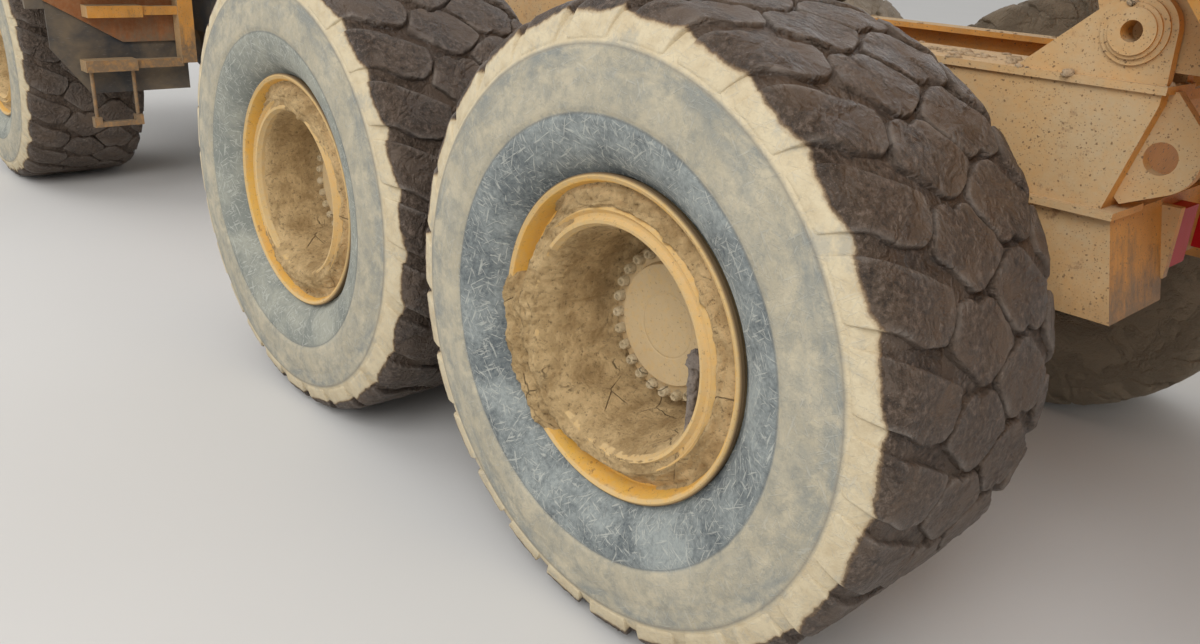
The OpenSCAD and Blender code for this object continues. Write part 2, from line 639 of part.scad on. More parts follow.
module front_frame() {
    color(dark_paint) {
        // fork around the pivot, with its pin
        difference() {
            for (z = [hitch_z - fork_gap - fork_t, hitch_z + fork_gap])
                translate([0, 0, z]) linear_extrude(fork_t) polygon([
                    [pivot_x - 150, -90], [pivot_x - 90, -150], [pivot_x + 100, -180],
                    [pivot_x + 520, -front_rail_y], [pivot_x + 720, -front_rail_y],
                    [pivot_x + 720, front_rail_y], [pivot_x + 520, front_rail_y],
                    [pivot_x + 100, 180], [pivot_x - 90, 150], [pivot_x - 150, 90]]);
        }
        translate([pivot_x, 0, hitch_z - fork_gap - fork_t]) cylinder(r = 60, h = 2 * (fork_gap + fork_t));
        block([pivot_x + 210, -110, hitch_z - fork_gap], [pivot_x + 720, 110, hitch_z + fork_gap]);
        block([pivot_x + 680, -front_rail_y, hitch_z - fork_gap],
            [pivot_x + 720, front_rail_y, hitch_z + fork_gap]);
        both_sides() {
            // rail
            side_plate(front_rail_y - 90, 90) polygon([
                [pivot_x + 700, front_rail_z0], [nose_x - 330, front_rail_z0],
                [nose_x - 330, front_rail_z1], [pivot_x + 700, front_rail_z1]]);
            // pin of the steering barrel
            translate([pivot_x + steer_base_x, steer_base_y, hitch_z - fork_gap])
                cylinder(r = 25, h = 2 * fork_gap);
            // axle bracket
            difference() {
                side_plate(front_rail_y - 80, 70) polygon([
                    [front_x - 200, front_rail_z0 + 5], [front_x - 150, axle_z - 30],
                    [front_x + 150, axle_z - 30], [front_x + 200, front_rail_z0 + 5]]);
                bar_y(front_x, axle_z, axle_r + fit_gap, 0, 1000);
            }
            // bracket of the hood hinge
            difference() {
                side_plate(300, 30) union() {
                    translate([hood_hinge_x, hood_hinge_z]) circle(r = 30);
                    polygon([[nose_x - 400, front_rail_z1 - 130], [nose_x - 340, front_rail_z1 - 130],
                        [nose_x - 340, front_rail_z1 - 12], [hood_hinge_x, hood_hinge_z - 30],
                        [hood_hinge_x, hood_hinge_z + 30],
                        [nose_x - 400, front_rail_z1 + 60]]);
                }
            }
            bar_y(hood_hinge_x, hood_hinge_z, 15, 300, 380);
            // cab and platform brackets
            for (x = [cab_x0 + 80, cab_x1 - 180])
                block([x, front_rail_y - 60, front_rail_z1 - 20], [x + 90, front_rail_y, cab_z0 - fit_gap]);
            // outriggers of the side boxes
            block([flap_x - 120, front_rail_y - 20, outrigger_z], [flap_x - 20 - fit_gap, side_half - 140,
                outrigger_z + 60]);
            block([box_x0, 900, outrigger_z], [box_x0 + 70, side_half - 140, outrigger_z + 60]);
            block([box_x0, 900, outrigger_z], [flap_x - 20 - fit_gap, 960, outrigger_z + 60]);
            // brackets of the fender
            for (x = [front_x - 600, front_x + 560]) {
                block([x, front_rail_y - 20, front_rail_z1 - 60], [x + 60, cab_half + 30, front_rail_z1]);
                block([x, cab_half - 30, front_rail_z1 - 60], [x + 60, cab_half + 30, deck_z - fit_gap]);
            }
        }
        for (x = [front_x + 500, nose_x - 420])
            block([x, -front_rail_y + 10, front_rail_z0 + 30], [x + 90, front_rail_y - 10, front_rail_z0 + 170]);
        // engine bearers
        for (x = [cab_x1 + 220, cab_x1 + 960])
            block([x, -front_rail_y + 10, front_rail_z0 + 10],
                [x + 80, front_rail_y - 10, front_rail_z0 + 70 - fit_gap]);
    }
}

module engine_block() {
    color(dark_paint)
        block([cab_x1 + 120, -front_rail_y + 120, front_rail_z0 + 70],
            [cab_x1 + 1150, front_rail_y - 120, hood_nose_z - 150]);
}

function hood_profile(g) = [
    [hood_x0 - (g > 0 ? 100 : 0), front_rail_z1 + 30 - (g > 0 ? 100 : 0)],
    [hood_x1 - g, front_rail_z1 + 30 - (g > 0 ? 100 : 0)],
    [hood_x1 - g, hood_nose_z - 160 - g], [hood_x1 - 120 - g, hood_nose_z - g],
    [hood_x0 - (g > 0 ? 100 : 0), hood_cowl_z - g]];
function hood_section(g) = [
    [-hood_half + g, 0], [hood_half - g, 0], [hood_half - g, hood_nose_z - 120],
    [hood_half - 160 - g / 2, hood_cowl_z + 40 - g], [-hood_half + 160 + g / 2, hood_cowl_z + 40 - g],
    [-hood_half + g, hood_nose_z - 120]];

slot_count = 8;
slot_step = 90;

module hood() {
    color(paint) difference() {
        intersection() {
            cross_plate(hood_x0, hood_x1 - hood_x0) polygon(hood_section(0));
            side_plate(-1000, 2000) polygon(hood_profile(0));
        }
        intersection() {
            cross_plate(hood_x0 - 200, hood_x1) polygon(hood_section(hood_t));
            side_plate(-1000, 2000) polygon(hood_profile(hood_t));
        }
        // mouth of the grille
        block([hood_x1 - 100, -hood_half + 120, front_rail_z1 + 110],
            [hood_x1 + 10, hood_half - 120, hood_nose_z - 220]);
        // slots in the sides
        both_sides() for (i = [0 : slot_count - 1])
            block([hood_x1 - 380 - i * slot_step, hood_half - 2 * hood_t, front_rail_z1 + 300],
                [hood_x1 - 355 - i * slot_step, hood_half + 10, hood_nose_z - 200]);
    }
    // hinge lugs behind the lower edge of the nose
    color(paint) both_sides() difference() {
        side_plate(336, 26) union() {
            translate([hood_hinge_x, hood_hinge_z]) circle(r = 28);
            polygon([[hood_hinge_x, hood_hinge_z - 28], [hood_x1 - hood_t, hood_hinge_z - 28],
                [hood_x1 - hood_t, hood_hinge_z + 28], [hood_hinge_x, hood_hinge_z + 28]]);
        }
        bar_y(hood_hinge_x, hood_hinge_z, 15 + pin_gap, 300, 400);
    }
}

module grille() {
    y1 = hood_half - 120;
    z0 = front_rail_z1 + 110;
    z1 = hood_nose_z - 220;
    color(dark_paint) {
        for (s = [-1, 1]) block([hood_x1 - hood_t, s > 0 ? y1 - 30 : -y1, z0], [hood_x1, s > 0 ? y1 : -y1 + 30, z1]);
        for (i = [0 : 6]) {
            z = z0 + (z1 - z0 - 36) * i / 6;
            block([hood_x1 - hood_t, -y1 + 30, z], [hood_x1, y1 - 30, z + 36]);
        }
    }
}

module bumper() {
    color(dark_paint) difference() {
        side_plate(-bumper_half, 2 * bumper_half) polygon([
            [nose_x - 330 + fit_gap, bumper_z0], [nose_x - 330 + fit_gap, front_rail_z1 - 20],
            [nose_x - 20, front_rail_z1 - 20], [nose_x, front_rail_z1 - 60], [nose_x, bumper_z0 + 60],
            [nose_x - 60, bumper_z0]]);
        // tow pocket and the bore of its pin
        block([nose_x - 150, -110, front_rail_z0], [nose_x + 10, 110, front_rail_z0 + 80]);
        translate([nose_x - 70, 0, bumper_z0 - 100]) cylinder(r = tow_pin_r, h = 600);
    }
}

module headlamps() {
    color([0.92, 0.93, 0.9]) both_sides()
        block([nose_x - 150, bumper_half - 330, front_rail_z1 - 20 + fit_gap],
            [nose_x - 40, bumper_half - 130, front_rail_z1 + 130]);
}

door_x1 = cab_x1 - 260;
door_x0 = door_x1 - door_w;
door_z0 = cab_z0 + 60;
door_z1 = cab_z1 - 170;
hinge_h = 70;
door_hinges = [door_z0 + 120, door_z1 - 330];

function cab_profile(g) = [
    [cab_x0 + g, cab_z0 + g], [cab_x1 - g, cab_z0 + g], [cab_x1 - g, sill_z + 60],
    [cab_x1 - 190 - g, cab_z1 - 70 - g], [cab_x0 + 60 + g, cab_z1 - 70 - g], [cab_x0 + g, sill_z]];

module cab_shell() {
    color(paint) difference() {
        union() {
            side_plate(-cab_half, 2 * cab_half) polygon(cab_profile(0));
            block([cab_x0 + 20, -cab_half - 20, cab_z1 - 90], [cab_x1 - 120, cab_half + 20, cab_z1]);
        }
        side_plate(-cab_half + cab_t, 2 * cab_half - 2 * cab_t) polygon(cab_profile(cab_t));
        // windscreen, rear window, right window
        block([cab_x1 - 350, -cab_half + 110, sill_z + 110], [cab_x1 + 100, cab_half - 110, cab_z1 - 180]);
        block([cab_x0 - 100, -cab_half + 150, sill_z + 60], [cab_x0 + 200, cab_half - 150, cab_z1 - 220]);
        block([cab_x0 + 220, -cab_half - 100, sill_z + 40], [cab_x1 - 300, -cab_half + 100, cab_z1 - 200]);
        // doorway
        block([door_x0, cab_half - cab_t - 10, door_z0], [door_x1, cab_half + 100, door_z1]);
    }
    // hinge ears and pins of the door
    color(paint) for (z = door_hinges) {
        for (dz = [-32, 32 + hinge_h - 26])
            block([door_x1 + 5, cab_half, z + dz], [door_x1 + 45, cab_half + 46, z + dz + 26]);
        translate([door_x1 + 25, cab_half + 26, z - 32]) cylinder(r = 11, h = hinge_h + 64);
    }
}

module cab_glass() {
    slope = atan2(190, cab_z1 - 70 - sill_z - 60);
    color([0.35, 0.45, 0.5, 0.4]) {
        // windscreen, along the slope of the front wall
        intersection() {
            side_plate(-cab_half + 110, 2 * cab_half - 220) polygon([
                [cab_x1 - 30, sill_z + 60], [cab_x1 - 30 + glass_t, sill_z + 60],
                [cab_x1 - 220 + glass_t, cab_z1 - 70], [cab_x1 - 220, cab_z1 - 70]]);
            block([cab_x1 - 350, -cab_half, sill_z + 110], [cab_x1 + 100, cab_half, cab_z1 - 180]);
        }
        intersection() {
            side_plate(-cab_half + 150, 2 * cab_half - 300) polygon([
                [cab_x0 + 20, sill_z], [cab_x0 + 20 + glass_t, sill_z],
                [cab_x0 + 80 + glass_t, cab_z1 - 70], [cab_x0 + 80, cab_z1 - 70]]);
            block([cab_x0 - 100, -cab_half, sill_z + 60], [cab_x0 + 200, cab_half, cab_z1 - 220]);
        }
        block([cab_x0 + 220, -cab_half + 20, sill_z + 40], [cab_x1 - 300, -cab_half + 20 + glass_t, cab_z1 - 200]);
    }
}

module cab_interior() {
    x = cab_x0 + 430;
    z = cab_z0 + cab_t + fit_gap;
    color([0.12, 0.12, 0.13]) {
        // seat on its pedestal
        block([x - 170, -170, z], [x + 130, 170, z + 260]);
        block([x - 240, -250, z + 260], [x + 250, 250, z + 380]);
        side_plate(-240, 480) polygon([[x - 240, z + 380], [x - 110, z + 380], [x - 190, z + 1020], [x - 300, z + 1020]]);
        // dashboard
        side_plate(-cab_half + cab_t + 5, 2 * (cab_half - cab_t - 5)) polygon([
            [cab_x1 - cab_t - 5, z], [cab_x1 - cab_t - 5, z + 500], [cab_x1 - 330, z + 600],
            [cab_x1 - 420, z + 480], [cab_x1 - 190, z]]);
        // steering wheel on its column
        translate([cab_x1 - 400, 0, z + 520]) rotate([0, -35, 0]) {
            cylinder(r = 35, h = 160);
            translate([0, 0, 160]) rotate_extrude() translate([190, 0]) circle(r = 16);
            for (a = [90, 210, 330]) rotate([0, 0, a]) block([0, -14, 150], [190, 14, 166]);
        }
    }
}

module cab_door() {
    g = 6;
    color(paint) difference() {
        block([door_x0 + g, cab_half - cab_t, door_z0 + g], [door_x1 - g, cab_half, door_z1 - g]);
        block([door_x0 + 90, cab_half - cab_t - 5, sill_z - 250], [door_x1 - 90, cab_half + 5, door_z1 - 90]);
    }
    // hinge straps
    color(paint) for (z = door_hinges) difference() {
        union() {
            block([door_x1 - 110, cab_half, z], [door_x1 - 12, cab_half + 20, z + hinge_h]);
            block([door_x1 - 60, cab_half + 8, z], [door_x1 + 25, cab_half + 40, z + hinge_h]);
            translate([door_x1 + 25, cab_half + 26, z]) cylinder(r = 18, h = hinge_h);
        }
        translate([door_x1 + 25, cab_half + 26, z - 10]) cylinder(r = 11 + pin_gap, h = hinge_h + 20);
    }
}

module door_glass() {
    color([0.35, 0.45, 0.5, 0.4])
        block([door_x0 + 90, cab_half - 30, sill_z - 250], [door_x1 - 90, cab_half - 30 + glass_t, door_z1 - 90]);
}

module fenders() {
    color(dark_paint) both_sides() {
        // deck over the wheel, from the cab's side outwards
        difference() {
            side_plate(cab_half + 6, side_half - cab_half - 6) polygon([
                [flap_x, axle_z + 338], [flap_x + 30, axle_z + 338], [front_x - 800, deck_z - 60],
                [front_x - 660, deck_z], [front_x + 660, deck_z], [front_x + 800, deck_z - 60],
                [front_x + 930, axle_z + 420], [front_x + 960, axle_z + 420], [front_x + 830, deck_z - 20],
                [front_x + 670, deck_z + 40], [front_x - 670, deck_z + 40], [front_x - 830, deck_z - 20]]);
            block([hood_x0 - 40, 0, 0], [hood_x1, hood_half + 130, 4000]);
        }
        // flap behind the wheel, with its outer lower corner cut off
        cross_plate(flap_x, 14) polygon([
            [615, axle_z - 150], [1200, axle_z - 150], [side_half - 98, axle_z + 116],
            [side_half - 98, axle_z + 370], [615, axle_z + 370]]);
    }
}

module side_boxes() {
    color(paint) both_sides() {
        side_plate(cab_half + 60, side_half - 110 - cab_half - 60) polygon([
            [box_x0, outrigger_z + 60 + fit_gap], [flap_x - 40, outrigger_z + 60 + fit_gap],
            [flap_x - 40, box_z1 - 90], [box_x0 + 50, box_z1 - 90], [box_x0, box_z1 - 130]]);
        // wall behind the flap, with a slanted lower edge
        cross_plate(flap_x - 20, 18) polygon([
            [620, axle_z + 145], [994, axle_z + 145], [side_half - 90, axle_z + 385],
            [side_half - 90, box_z1], [620, box_z1]]);
    }
}

// Steps behind the left and right front wheels: height, inner and outer end
steps = [[axle_z + 296, 900, 1207], [axle_z - 9, 960, 1250]];
step_x = flap_x - 120;
step_h = 66;
rung_z = axle_z - 337;

module ladder() {
    color(paint) both_sides() {
        post = [600, 690];
        // post below the outrigger, with an arm to each step
        block([step_x, post[0], steps[1][0] + 30], [step_x + 90, post[1], outrigger_z - fit_gap]);
        for (s = steps) {
            block([step_x + 10, post[1] - 10, s[0] + 10], [step_x + 60, s[1] + 5, s[0] + step_h - 6]);
            difference() {
                block([step_x - 14, s[1], s[0]], [step_x + 96, s[2], s[0] + step_h]);
                block([step_x + 2, s[1] + 16, s[0] - 1], [step_x + 80, s[2] - 16, s[0] + step_h - 14]);
            }
        }
        // rung that hangs on two rods
        for (y = [steps[1][1] + 14, steps[1][2] - 40])
            translate([step_x + 50, y, rung_z + 50]) cylinder(r = 11, h = steps[1][0] - rung_z - 30);
        for (y = [steps[1][1] - 10, steps[1][2] - 62])
            block([step_x + 26, y, rung_z], [step_x + 74, y + 44, rung_z + 60]);
        block([step_x + 30, steps[1][1] - 10, rung_z], [step_x + 70, steps[1][2] - 18, rung_z + 28]);
    }
}

module exhaust() {
    color(steel) {
        translate([cab_x1 + 160, -hood_half - 220, deck_z + 40 + fit_gap]) cylinder(r = 75, h = 900);
        translate([cab_x1 + 160, -hood_half - 220, deck_z + 900]) cylinder(r = 45, h = 390);
    }
}

module mirrors() {
    z = cab_z1 - 530;
    color(dark_paint) both_sides() {
        block([cab_x1 - 205, cab_half, z], [cab_x1 - 175, cab_half + 60, z + 30]);
        block([cab_x1 - 205, cab_half + 30, z], [cab_x1 + 60, cab_half + 60, z + 30]);
        block([cab_x1 + 30, cab_half + 30, z], [cab_x1 + 60, cab_half + 540, z + 30]);
        block([cab_x1 + 10, cab_half + 420, z - 380], [cab_x1 + 70, cab_half + 660, z + 90]);
    }
}

module placed() {
    translate([-origin_x, 0, 0]) children();
}

placed() rear_frame();
placed() tail_frame();
placed() walking_beams();
placed() {  // rear_axles
    for (x = [rear_x, mid_x]) axle(x, 1);
    rear_shaft();
}
placed() tail_lamps();
placed() dump_bed();
placed() bed_underframe();
placed() hoist_barrel(1);  // hoist_barrel_left
placed() hoist_barrel(-1);  // hoist_barrel_right
placed() hoist_rod(1);  // hoist_rod_left
placed() hoist_rod(-1);  // hoist_rod_right
placed() hitch();
placed() front_frame();
placed() axle(front_x, -1);  // front_axle
placed() engine_block();
placed() hood();
placed() grille();
placed() bumper();
placed() headlamps();
placed() cab_shell();
placed() cab_glass();
placed() cab_interior();
placed() cab_door();
placed() door_glass();
placed() fenders();
placed() side_boxes();
placed() ladder();
placed() exhaust();
placed() mirrors();
placed() steer_barrel(1);  // steer_barrel_left
placed() steer_barrel(-1);  // steer_barrel_right
placed() steer_rod(1);  // steer_rod_left
placed() steer_rod(-1);  // steer_rod_right
placed() at_wheel(rear_x, 1) tyre();  // tyre_rear_left
placed() at_wheel(rear_x, -1) tyre();  // tyre_rear_right
placed() at_wheel(mid_x, 1) tyre();  // tyre_mid_left
placed() at_wheel(mid_x, -1) tyre();  // tyre_mid_right
placed() at_wheel(front_x, 1) tyre();  // tyre_front_left
placed() at_wheel(front_x, -1) tyre();  // tyre_front_right
placed() at_wheel(rear_x, 1) rim();  // rim_rear_left
placed() at_wheel(rear_x, -1) rim();  // rim_rear_right
placed() at_wheel(mid_x, 1) rim();  // rim_mid_left
placed() at_wheel(mid_x, -1) rim();  // rim_mid_right
placed() at_wheel(front_x, 1) rim();  // rim_front_left
placed() at_wheel(front_x, -1) rim();  // rim_front_right
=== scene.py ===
"""Looks of the articulated dump truck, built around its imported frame. Metres, in the frame's own axes."""
import json
import math
import random

import bmesh
import bpy
import numpy as np
from mathutils import Matrix, Vector, noise
from mathutils.bvhtree import BVHTree


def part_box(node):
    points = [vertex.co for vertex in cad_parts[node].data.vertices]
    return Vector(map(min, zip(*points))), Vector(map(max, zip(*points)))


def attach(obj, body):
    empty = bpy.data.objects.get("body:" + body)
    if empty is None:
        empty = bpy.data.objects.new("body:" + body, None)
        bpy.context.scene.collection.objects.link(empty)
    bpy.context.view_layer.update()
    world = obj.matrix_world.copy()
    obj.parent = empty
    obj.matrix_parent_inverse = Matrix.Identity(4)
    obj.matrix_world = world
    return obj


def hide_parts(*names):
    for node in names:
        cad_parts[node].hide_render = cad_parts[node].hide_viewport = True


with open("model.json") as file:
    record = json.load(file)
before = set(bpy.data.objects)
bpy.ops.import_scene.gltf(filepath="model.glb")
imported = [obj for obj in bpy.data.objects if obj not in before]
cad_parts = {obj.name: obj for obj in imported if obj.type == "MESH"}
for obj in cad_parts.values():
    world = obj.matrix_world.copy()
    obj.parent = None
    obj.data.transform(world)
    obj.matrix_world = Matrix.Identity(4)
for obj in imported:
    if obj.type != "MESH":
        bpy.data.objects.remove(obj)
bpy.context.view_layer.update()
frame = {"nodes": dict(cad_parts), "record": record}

# Places taken from the frame
SIDES = {"left": 1, "right": -1}


def node_centre(name):
    low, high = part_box(name)
    return (low + high) / 2


TYRE_LOW, TYRE_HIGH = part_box("tyre_rear_left")
TYRE_RADIUS = (TYRE_HIGH.z - TYRE_LOW.z) / 2
REAR_X = node_centre("tyre_rear_left").x
AXLE_Z = TYRE_RADIUS
RIM_LOW, RIM_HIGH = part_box("rim_rear_left")
RIM_SIZE = RIM_HIGH - RIM_LOW
RIM_RADIUS = RIM_SIZE.x / 2

# Camera at the photograph's viewing angle: behind the rear axle, left of the middle plane, above the axle
CAMERA_BACK = 1.591
CAMERA_Y = 3.014
CAMERA_UP = 0.936
CAMERA_FORWARD = Vector((0.6762, -0.6368, -0.3705))
CAMERA_RIGHT = Vector((-0.6694, -0.7411, 0.0519))
LENS_MM = 29.72
SENSOR_MM = 36.0
CLIP_END = 200


def add_camera():
    data = bpy.data.cameras.new("camera")
    data.lens = LENS_MM
    data.sensor_width = SENSOR_MM
    data.clip_end = CLIP_END
    camera = bpy.data.objects.new("camera", data)
    bpy.context.scene.collection.objects.link(camera)
    forward = CAMERA_FORWARD.normalized()
    right = (CAMERA_RIGHT - forward * CAMERA_RIGHT.dot(forward)).normalized()
    up = right.cross(forward)
    turn = Matrix((right, up, -forward)).transposed().to_4x4()
    place = Vector((REAR_X - CAMERA_BACK, CAMERA_Y, AXLE_Z + CAMERA_UP))
    camera.matrix_world = Matrix.Translation(place) @ turn
    bpy.context.scene.camera = camera


add_camera()


# Node helpers
class Shader:
    """A material and short ways to add the nodes that it is made of."""

    def __init__(self, name):
        self.material = bpy.data.materials.new(name)
        self.material.use_nodes = True
        self.tree = self.material.node_tree
        self.surface = self.tree.nodes["Principled BSDF"]
        self.place = None

    def add(self, kind, **values):
        made = self.tree.nodes.new(kind)
        for key, value in values.items():
            setattr(made, key, value)
        return made

    def link(self, source, target):
        if hasattr(source, "is_output"):
            self.tree.links.new(source, target)
        else:
            target.default_value = source

    def position(self):
        if self.place is None:
            self.place = self.add("ShaderNodeTexCoord").outputs["Object"]
        return self.place

    def attribute(self, name):
        return self.add("ShaderNodeAttribute", attribute_name=name).outputs["Fac"]

    def stretched(self, scale):
        made = self.add("ShaderNodeMapping")
        self.link(self.position(), made.inputs["Vector"])
        made.inputs["Scale"].default_value = scale
        return made.outputs["Vector"]

    def noise(self, scale, detail=4.0, rough=0.55, twist=0.0, vector=None):
        made = self.add("ShaderNodeTexNoise")
        self.link(vector if vector is not None else self.position(), made.inputs["Vector"])
        made.inputs["Scale"].default_value = scale
        made.inputs["Detail"].default_value = detail
        made.inputs["Roughness"].default_value = rough
        made.inputs["Distortion"].default_value = twist
        return made.outputs["Fac"]

    def cells(self, scale, feature="F1", vector=None):
        made = self.add("ShaderNodeTexVoronoi", feature=feature)
        self.link(vector if vector is not None else self.position(), made.inputs["Vector"])
        made.inputs["Scale"].default_value = scale
        return made.outputs["Distance"]

    def ramp(self, factor, stops):
        made = self.add("ShaderNodeValToRGB")
        self.link(factor, made.inputs["Fac"])
        line = made.color_ramp.elements
        while len(line) < len(stops):
            line.new(0.5)
        for element, (at, value) in zip(line, stops):
            element.position = at
            colour = value if isinstance(value, tuple) else (value, value, value)
            element.color = (*colour, 1.0)
        return made.outputs["Color"]

    def math(self, kind, a, b=0.0, clamp=False):
        made = self.add("ShaderNodeMath", operation=kind, use_clamp=clamp)
        self.link(a, made.inputs[0])
        self.link(b, made.inputs[1])
        return made.outputs[0]

    def times(self, a, b):
        return self.math("MULTIPLY", a, b)

    def plus(self, a, b, clamp=False):
        return self.math("ADD", a, b, clamp)

    def minus(self, a, b):
        return self.math("SUBTRACT", a, b)

    def larger(self, a, b):
        return self.math("MAXIMUM", a, b)

    def centred(self, value, amount):
        """A value between 0 and 1, moved to lie about zero and scaled."""
        return self.times(self.minus(value, 0.5), amount)

    def distance(self, value, middle):
        return self.math("ABSOLUTE", self.minus(value, middle))

    def mix(self, factor, a, b):
        made = self.add("ShaderNodeMix", data_type="RGBA")
        self.link(factor, made.inputs["Factor"])
        self.link(a if hasattr(a, "is_output") else (*a, 1.0), made.inputs["A"])
        self.link(b if hasattr(b, "is_output") else (*b, 1.0), made.inputs["B"])
        return made.outputs["Result"]

    def blend(self, factor, a, b):
        """Mix of two numbers."""
        made = self.add("ShaderNodeMix", data_type="FLOAT")
        self.link(factor, made.inputs["Factor"])
        self.link(a, made.inputs["A"])
        self.link(b, made.inputs["B"])
        return made.outputs["Result"]

    def bent(self, scale, amount):
        """The position, pushed about by coloured noise."""
        jitter = self.add("ShaderNodeTexNoise")
        self.link(self.position(), jitter.inputs["Vector"])
        jitter.inputs["Scale"].default_value = scale
        made = self.add("ShaderNodeMix", data_type="VECTOR")
        made.inputs["Factor"].default_value = amount
        self.link(self.position(), made.inputs["A"])
        self.link(jitter.outputs["Color"], made.inputs["B"])
        return made.outputs[1]

    def join(self, x, y):
        made = self.add("ShaderNodeCombineXYZ")
        self.link(x, made.inputs[0])
        self.link(y, made.inputs[1])
        return made.outputs[0]

    def drawn_out(self, turn, scale):
        """The position, turned about Y and then stretched."""
        turned = self.add("ShaderNodeMapping")
        self.link(self.position(), turned.inputs["Vector"])
        turned.inputs["Rotation"].default_value = (0.0, turn, 0.0)
        made = self.add("ShaderNodeMapping")
        self.link(turned.outputs["Vector"], made.inputs["Vector"])
        made.inputs["Scale"].default_value = scale
        return made.outputs["Vector"]

    def split(self, vector):
        made = self.add("ShaderNodeSeparateXYZ")
        self.link(vector, made.inputs[0])
        return made.outputs

    def facing(self):
        made = self.add("ShaderNodeNewGeometry")
        return self.split(made.outputs["Normal"])

    def bump(self, height, strength, distance):
        made = self.add("ShaderNodeBump")
        self.link(height, made.inputs["Height"])
        made.inputs["Strength"].default_value = strength
        made.inputs["Distance"].default_value = distance
        return made.outputs["Normal"]

    def finish(self, colour, rough, normal=None, metal=0.0, specular=0.5):
        self.link(colour, self.surface.inputs["Base Color"])
        self.link(rough, self.surface.inputs["Roughness"])
        self.link(metal, self.surface.inputs["Metallic"])
        self.surface.inputs["Specular IOR Level"].default_value = specular
        if normal is not None:
            self.link(normal, self.surface.inputs["Normal"])
        return self.material


# Colours of the photograph, as linear values
ORANGE = (0.78, 0.33, 0.035)
YELLOW = (0.74, 0.42, 0.05)
DUST = (0.50, 0.355, 0.19)
PALE_DUST = (0.57, 0.435, 0.265)
OCHRE_DUST = (0.60, 0.36, 0.14)
GRIMY_ORANGE = (0.36, 0.135, 0.045)
RUST = (0.17, 0.07, 0.03)
DROP_BROWN = (0.22, 0.14, 0.07)
SPLASH_DARK = (0.105, 0.07, 0.045)
SPLASH_DRY = (0.30, 0.22, 0.135)
NAVY = (0.028, 0.036, 0.046)
SCRATCH_GREY = (0.22, 0.22, 0.21)
CAB_BLACK = (0.022, 0.022, 0.024)
STEEL_GREY = (0.55, 0.55, 0.56)
WINDOW_TINT = (0.75, 0.80, 0.80)
LAMP_TINT = (0.85, 0.87, 0.85)
LENS_RED = (0.45, 0.008, 0.012)
# Sidewall of a tyre
RUBBER_DARK = (0.06, 0.075, 0.085)
RUBBER_GREY = (0.235, 0.25, 0.235)
BEAD_BLUE = (0.31, 0.335, 0.32)
BEAD_GREY = (0.27, 0.28, 0.235)
BEAD_BEIGE = (0.40, 0.385, 0.295)
BEIGE = (0.42, 0.375, 0.275)
BEIGE_PALE = (0.52, 0.46, 0.335)
FLECK_DARK = (0.215, 0.225, 0.205)
FLECK_PALE = (0.58, 0.51, 0.36)
CREAM = (0.64, 0.545, 0.37)
CREAM_DARK = (0.55, 0.45, 0.29)
CREAM_GREY = (0.36, 0.35, 0.30)
HAIR_PALE = (0.56, 0.56, 0.50)
# painted shade in the creases of the sidewall
CREASE_SHADE_BROWN = (0.17, 0.16, 0.14)
CREASE_SHADE_GREY = (0.12, 0.13, 0.13)
# Mud on a tread
MUD_WET = (0.070, 0.048, 0.034)
MUD_DAMP = (0.120, 0.084, 0.058)
CRUMB_PALE = (0.24, 0.18, 0.14)
CRUMB_DARK = (0.035, 0.026, 0.02)
SPECK_PALE = (0.27, 0.21, 0.17)
# painted highlight along the rounded rims of the lugs
LUG_HIGHLIGHT_PALE = (0.24, 0.205, 0.175)
DRIED_DARK = (0.24, 0.19, 0.13)
DRIED_PALE = (0.40, 0.33, 0.23)
STAIN_BROWN = (0.34, 0.22, 0.115)
# Rims, their mud and their bolts
HUB_DUST = (0.60, 0.465, 0.265)
RIDGE_DUST = (0.66, 0.44, 0.17)
RIM_SPECK = (0.22, 0.15, 0.08)
# painted shade where the rim's lip meets the tyre
RIM_EDGE_SHADE = (0.10, 0.06, 0.03)
CHIP_BROWN = (0.20, 0.10, 0.045)
RIM_MUD_DARK = (0.40, 0.265, 0.12)
RIM_MUD_LIGHT = (0.66, 0.47, 0.24)
BOLT_DARK = (0.58, 0.45, 0.26)
BOLT_LIGHT = (0.72, 0.58, 0.37)
CRUMBS_DARK = (0.48, 0.35, 0.21)
CRUMBS_LIGHT = (0.66, 0.50, 0.33)
CLOD_DARK = (0.22, 0.18, 0.15)
CLOD_LIGHT = (0.36, 0.30, 0.25)
# Stage
FLOOR_DARK = (0.62, 0.61, 0.59)
FLOOR_LIGHT = (0.66, 0.65, 0.63)
SKY_WHITE = (0.97, 0.97, 0.97, 1.0)


def shade(colour, share):
    return tuple(c * share for c in colour)


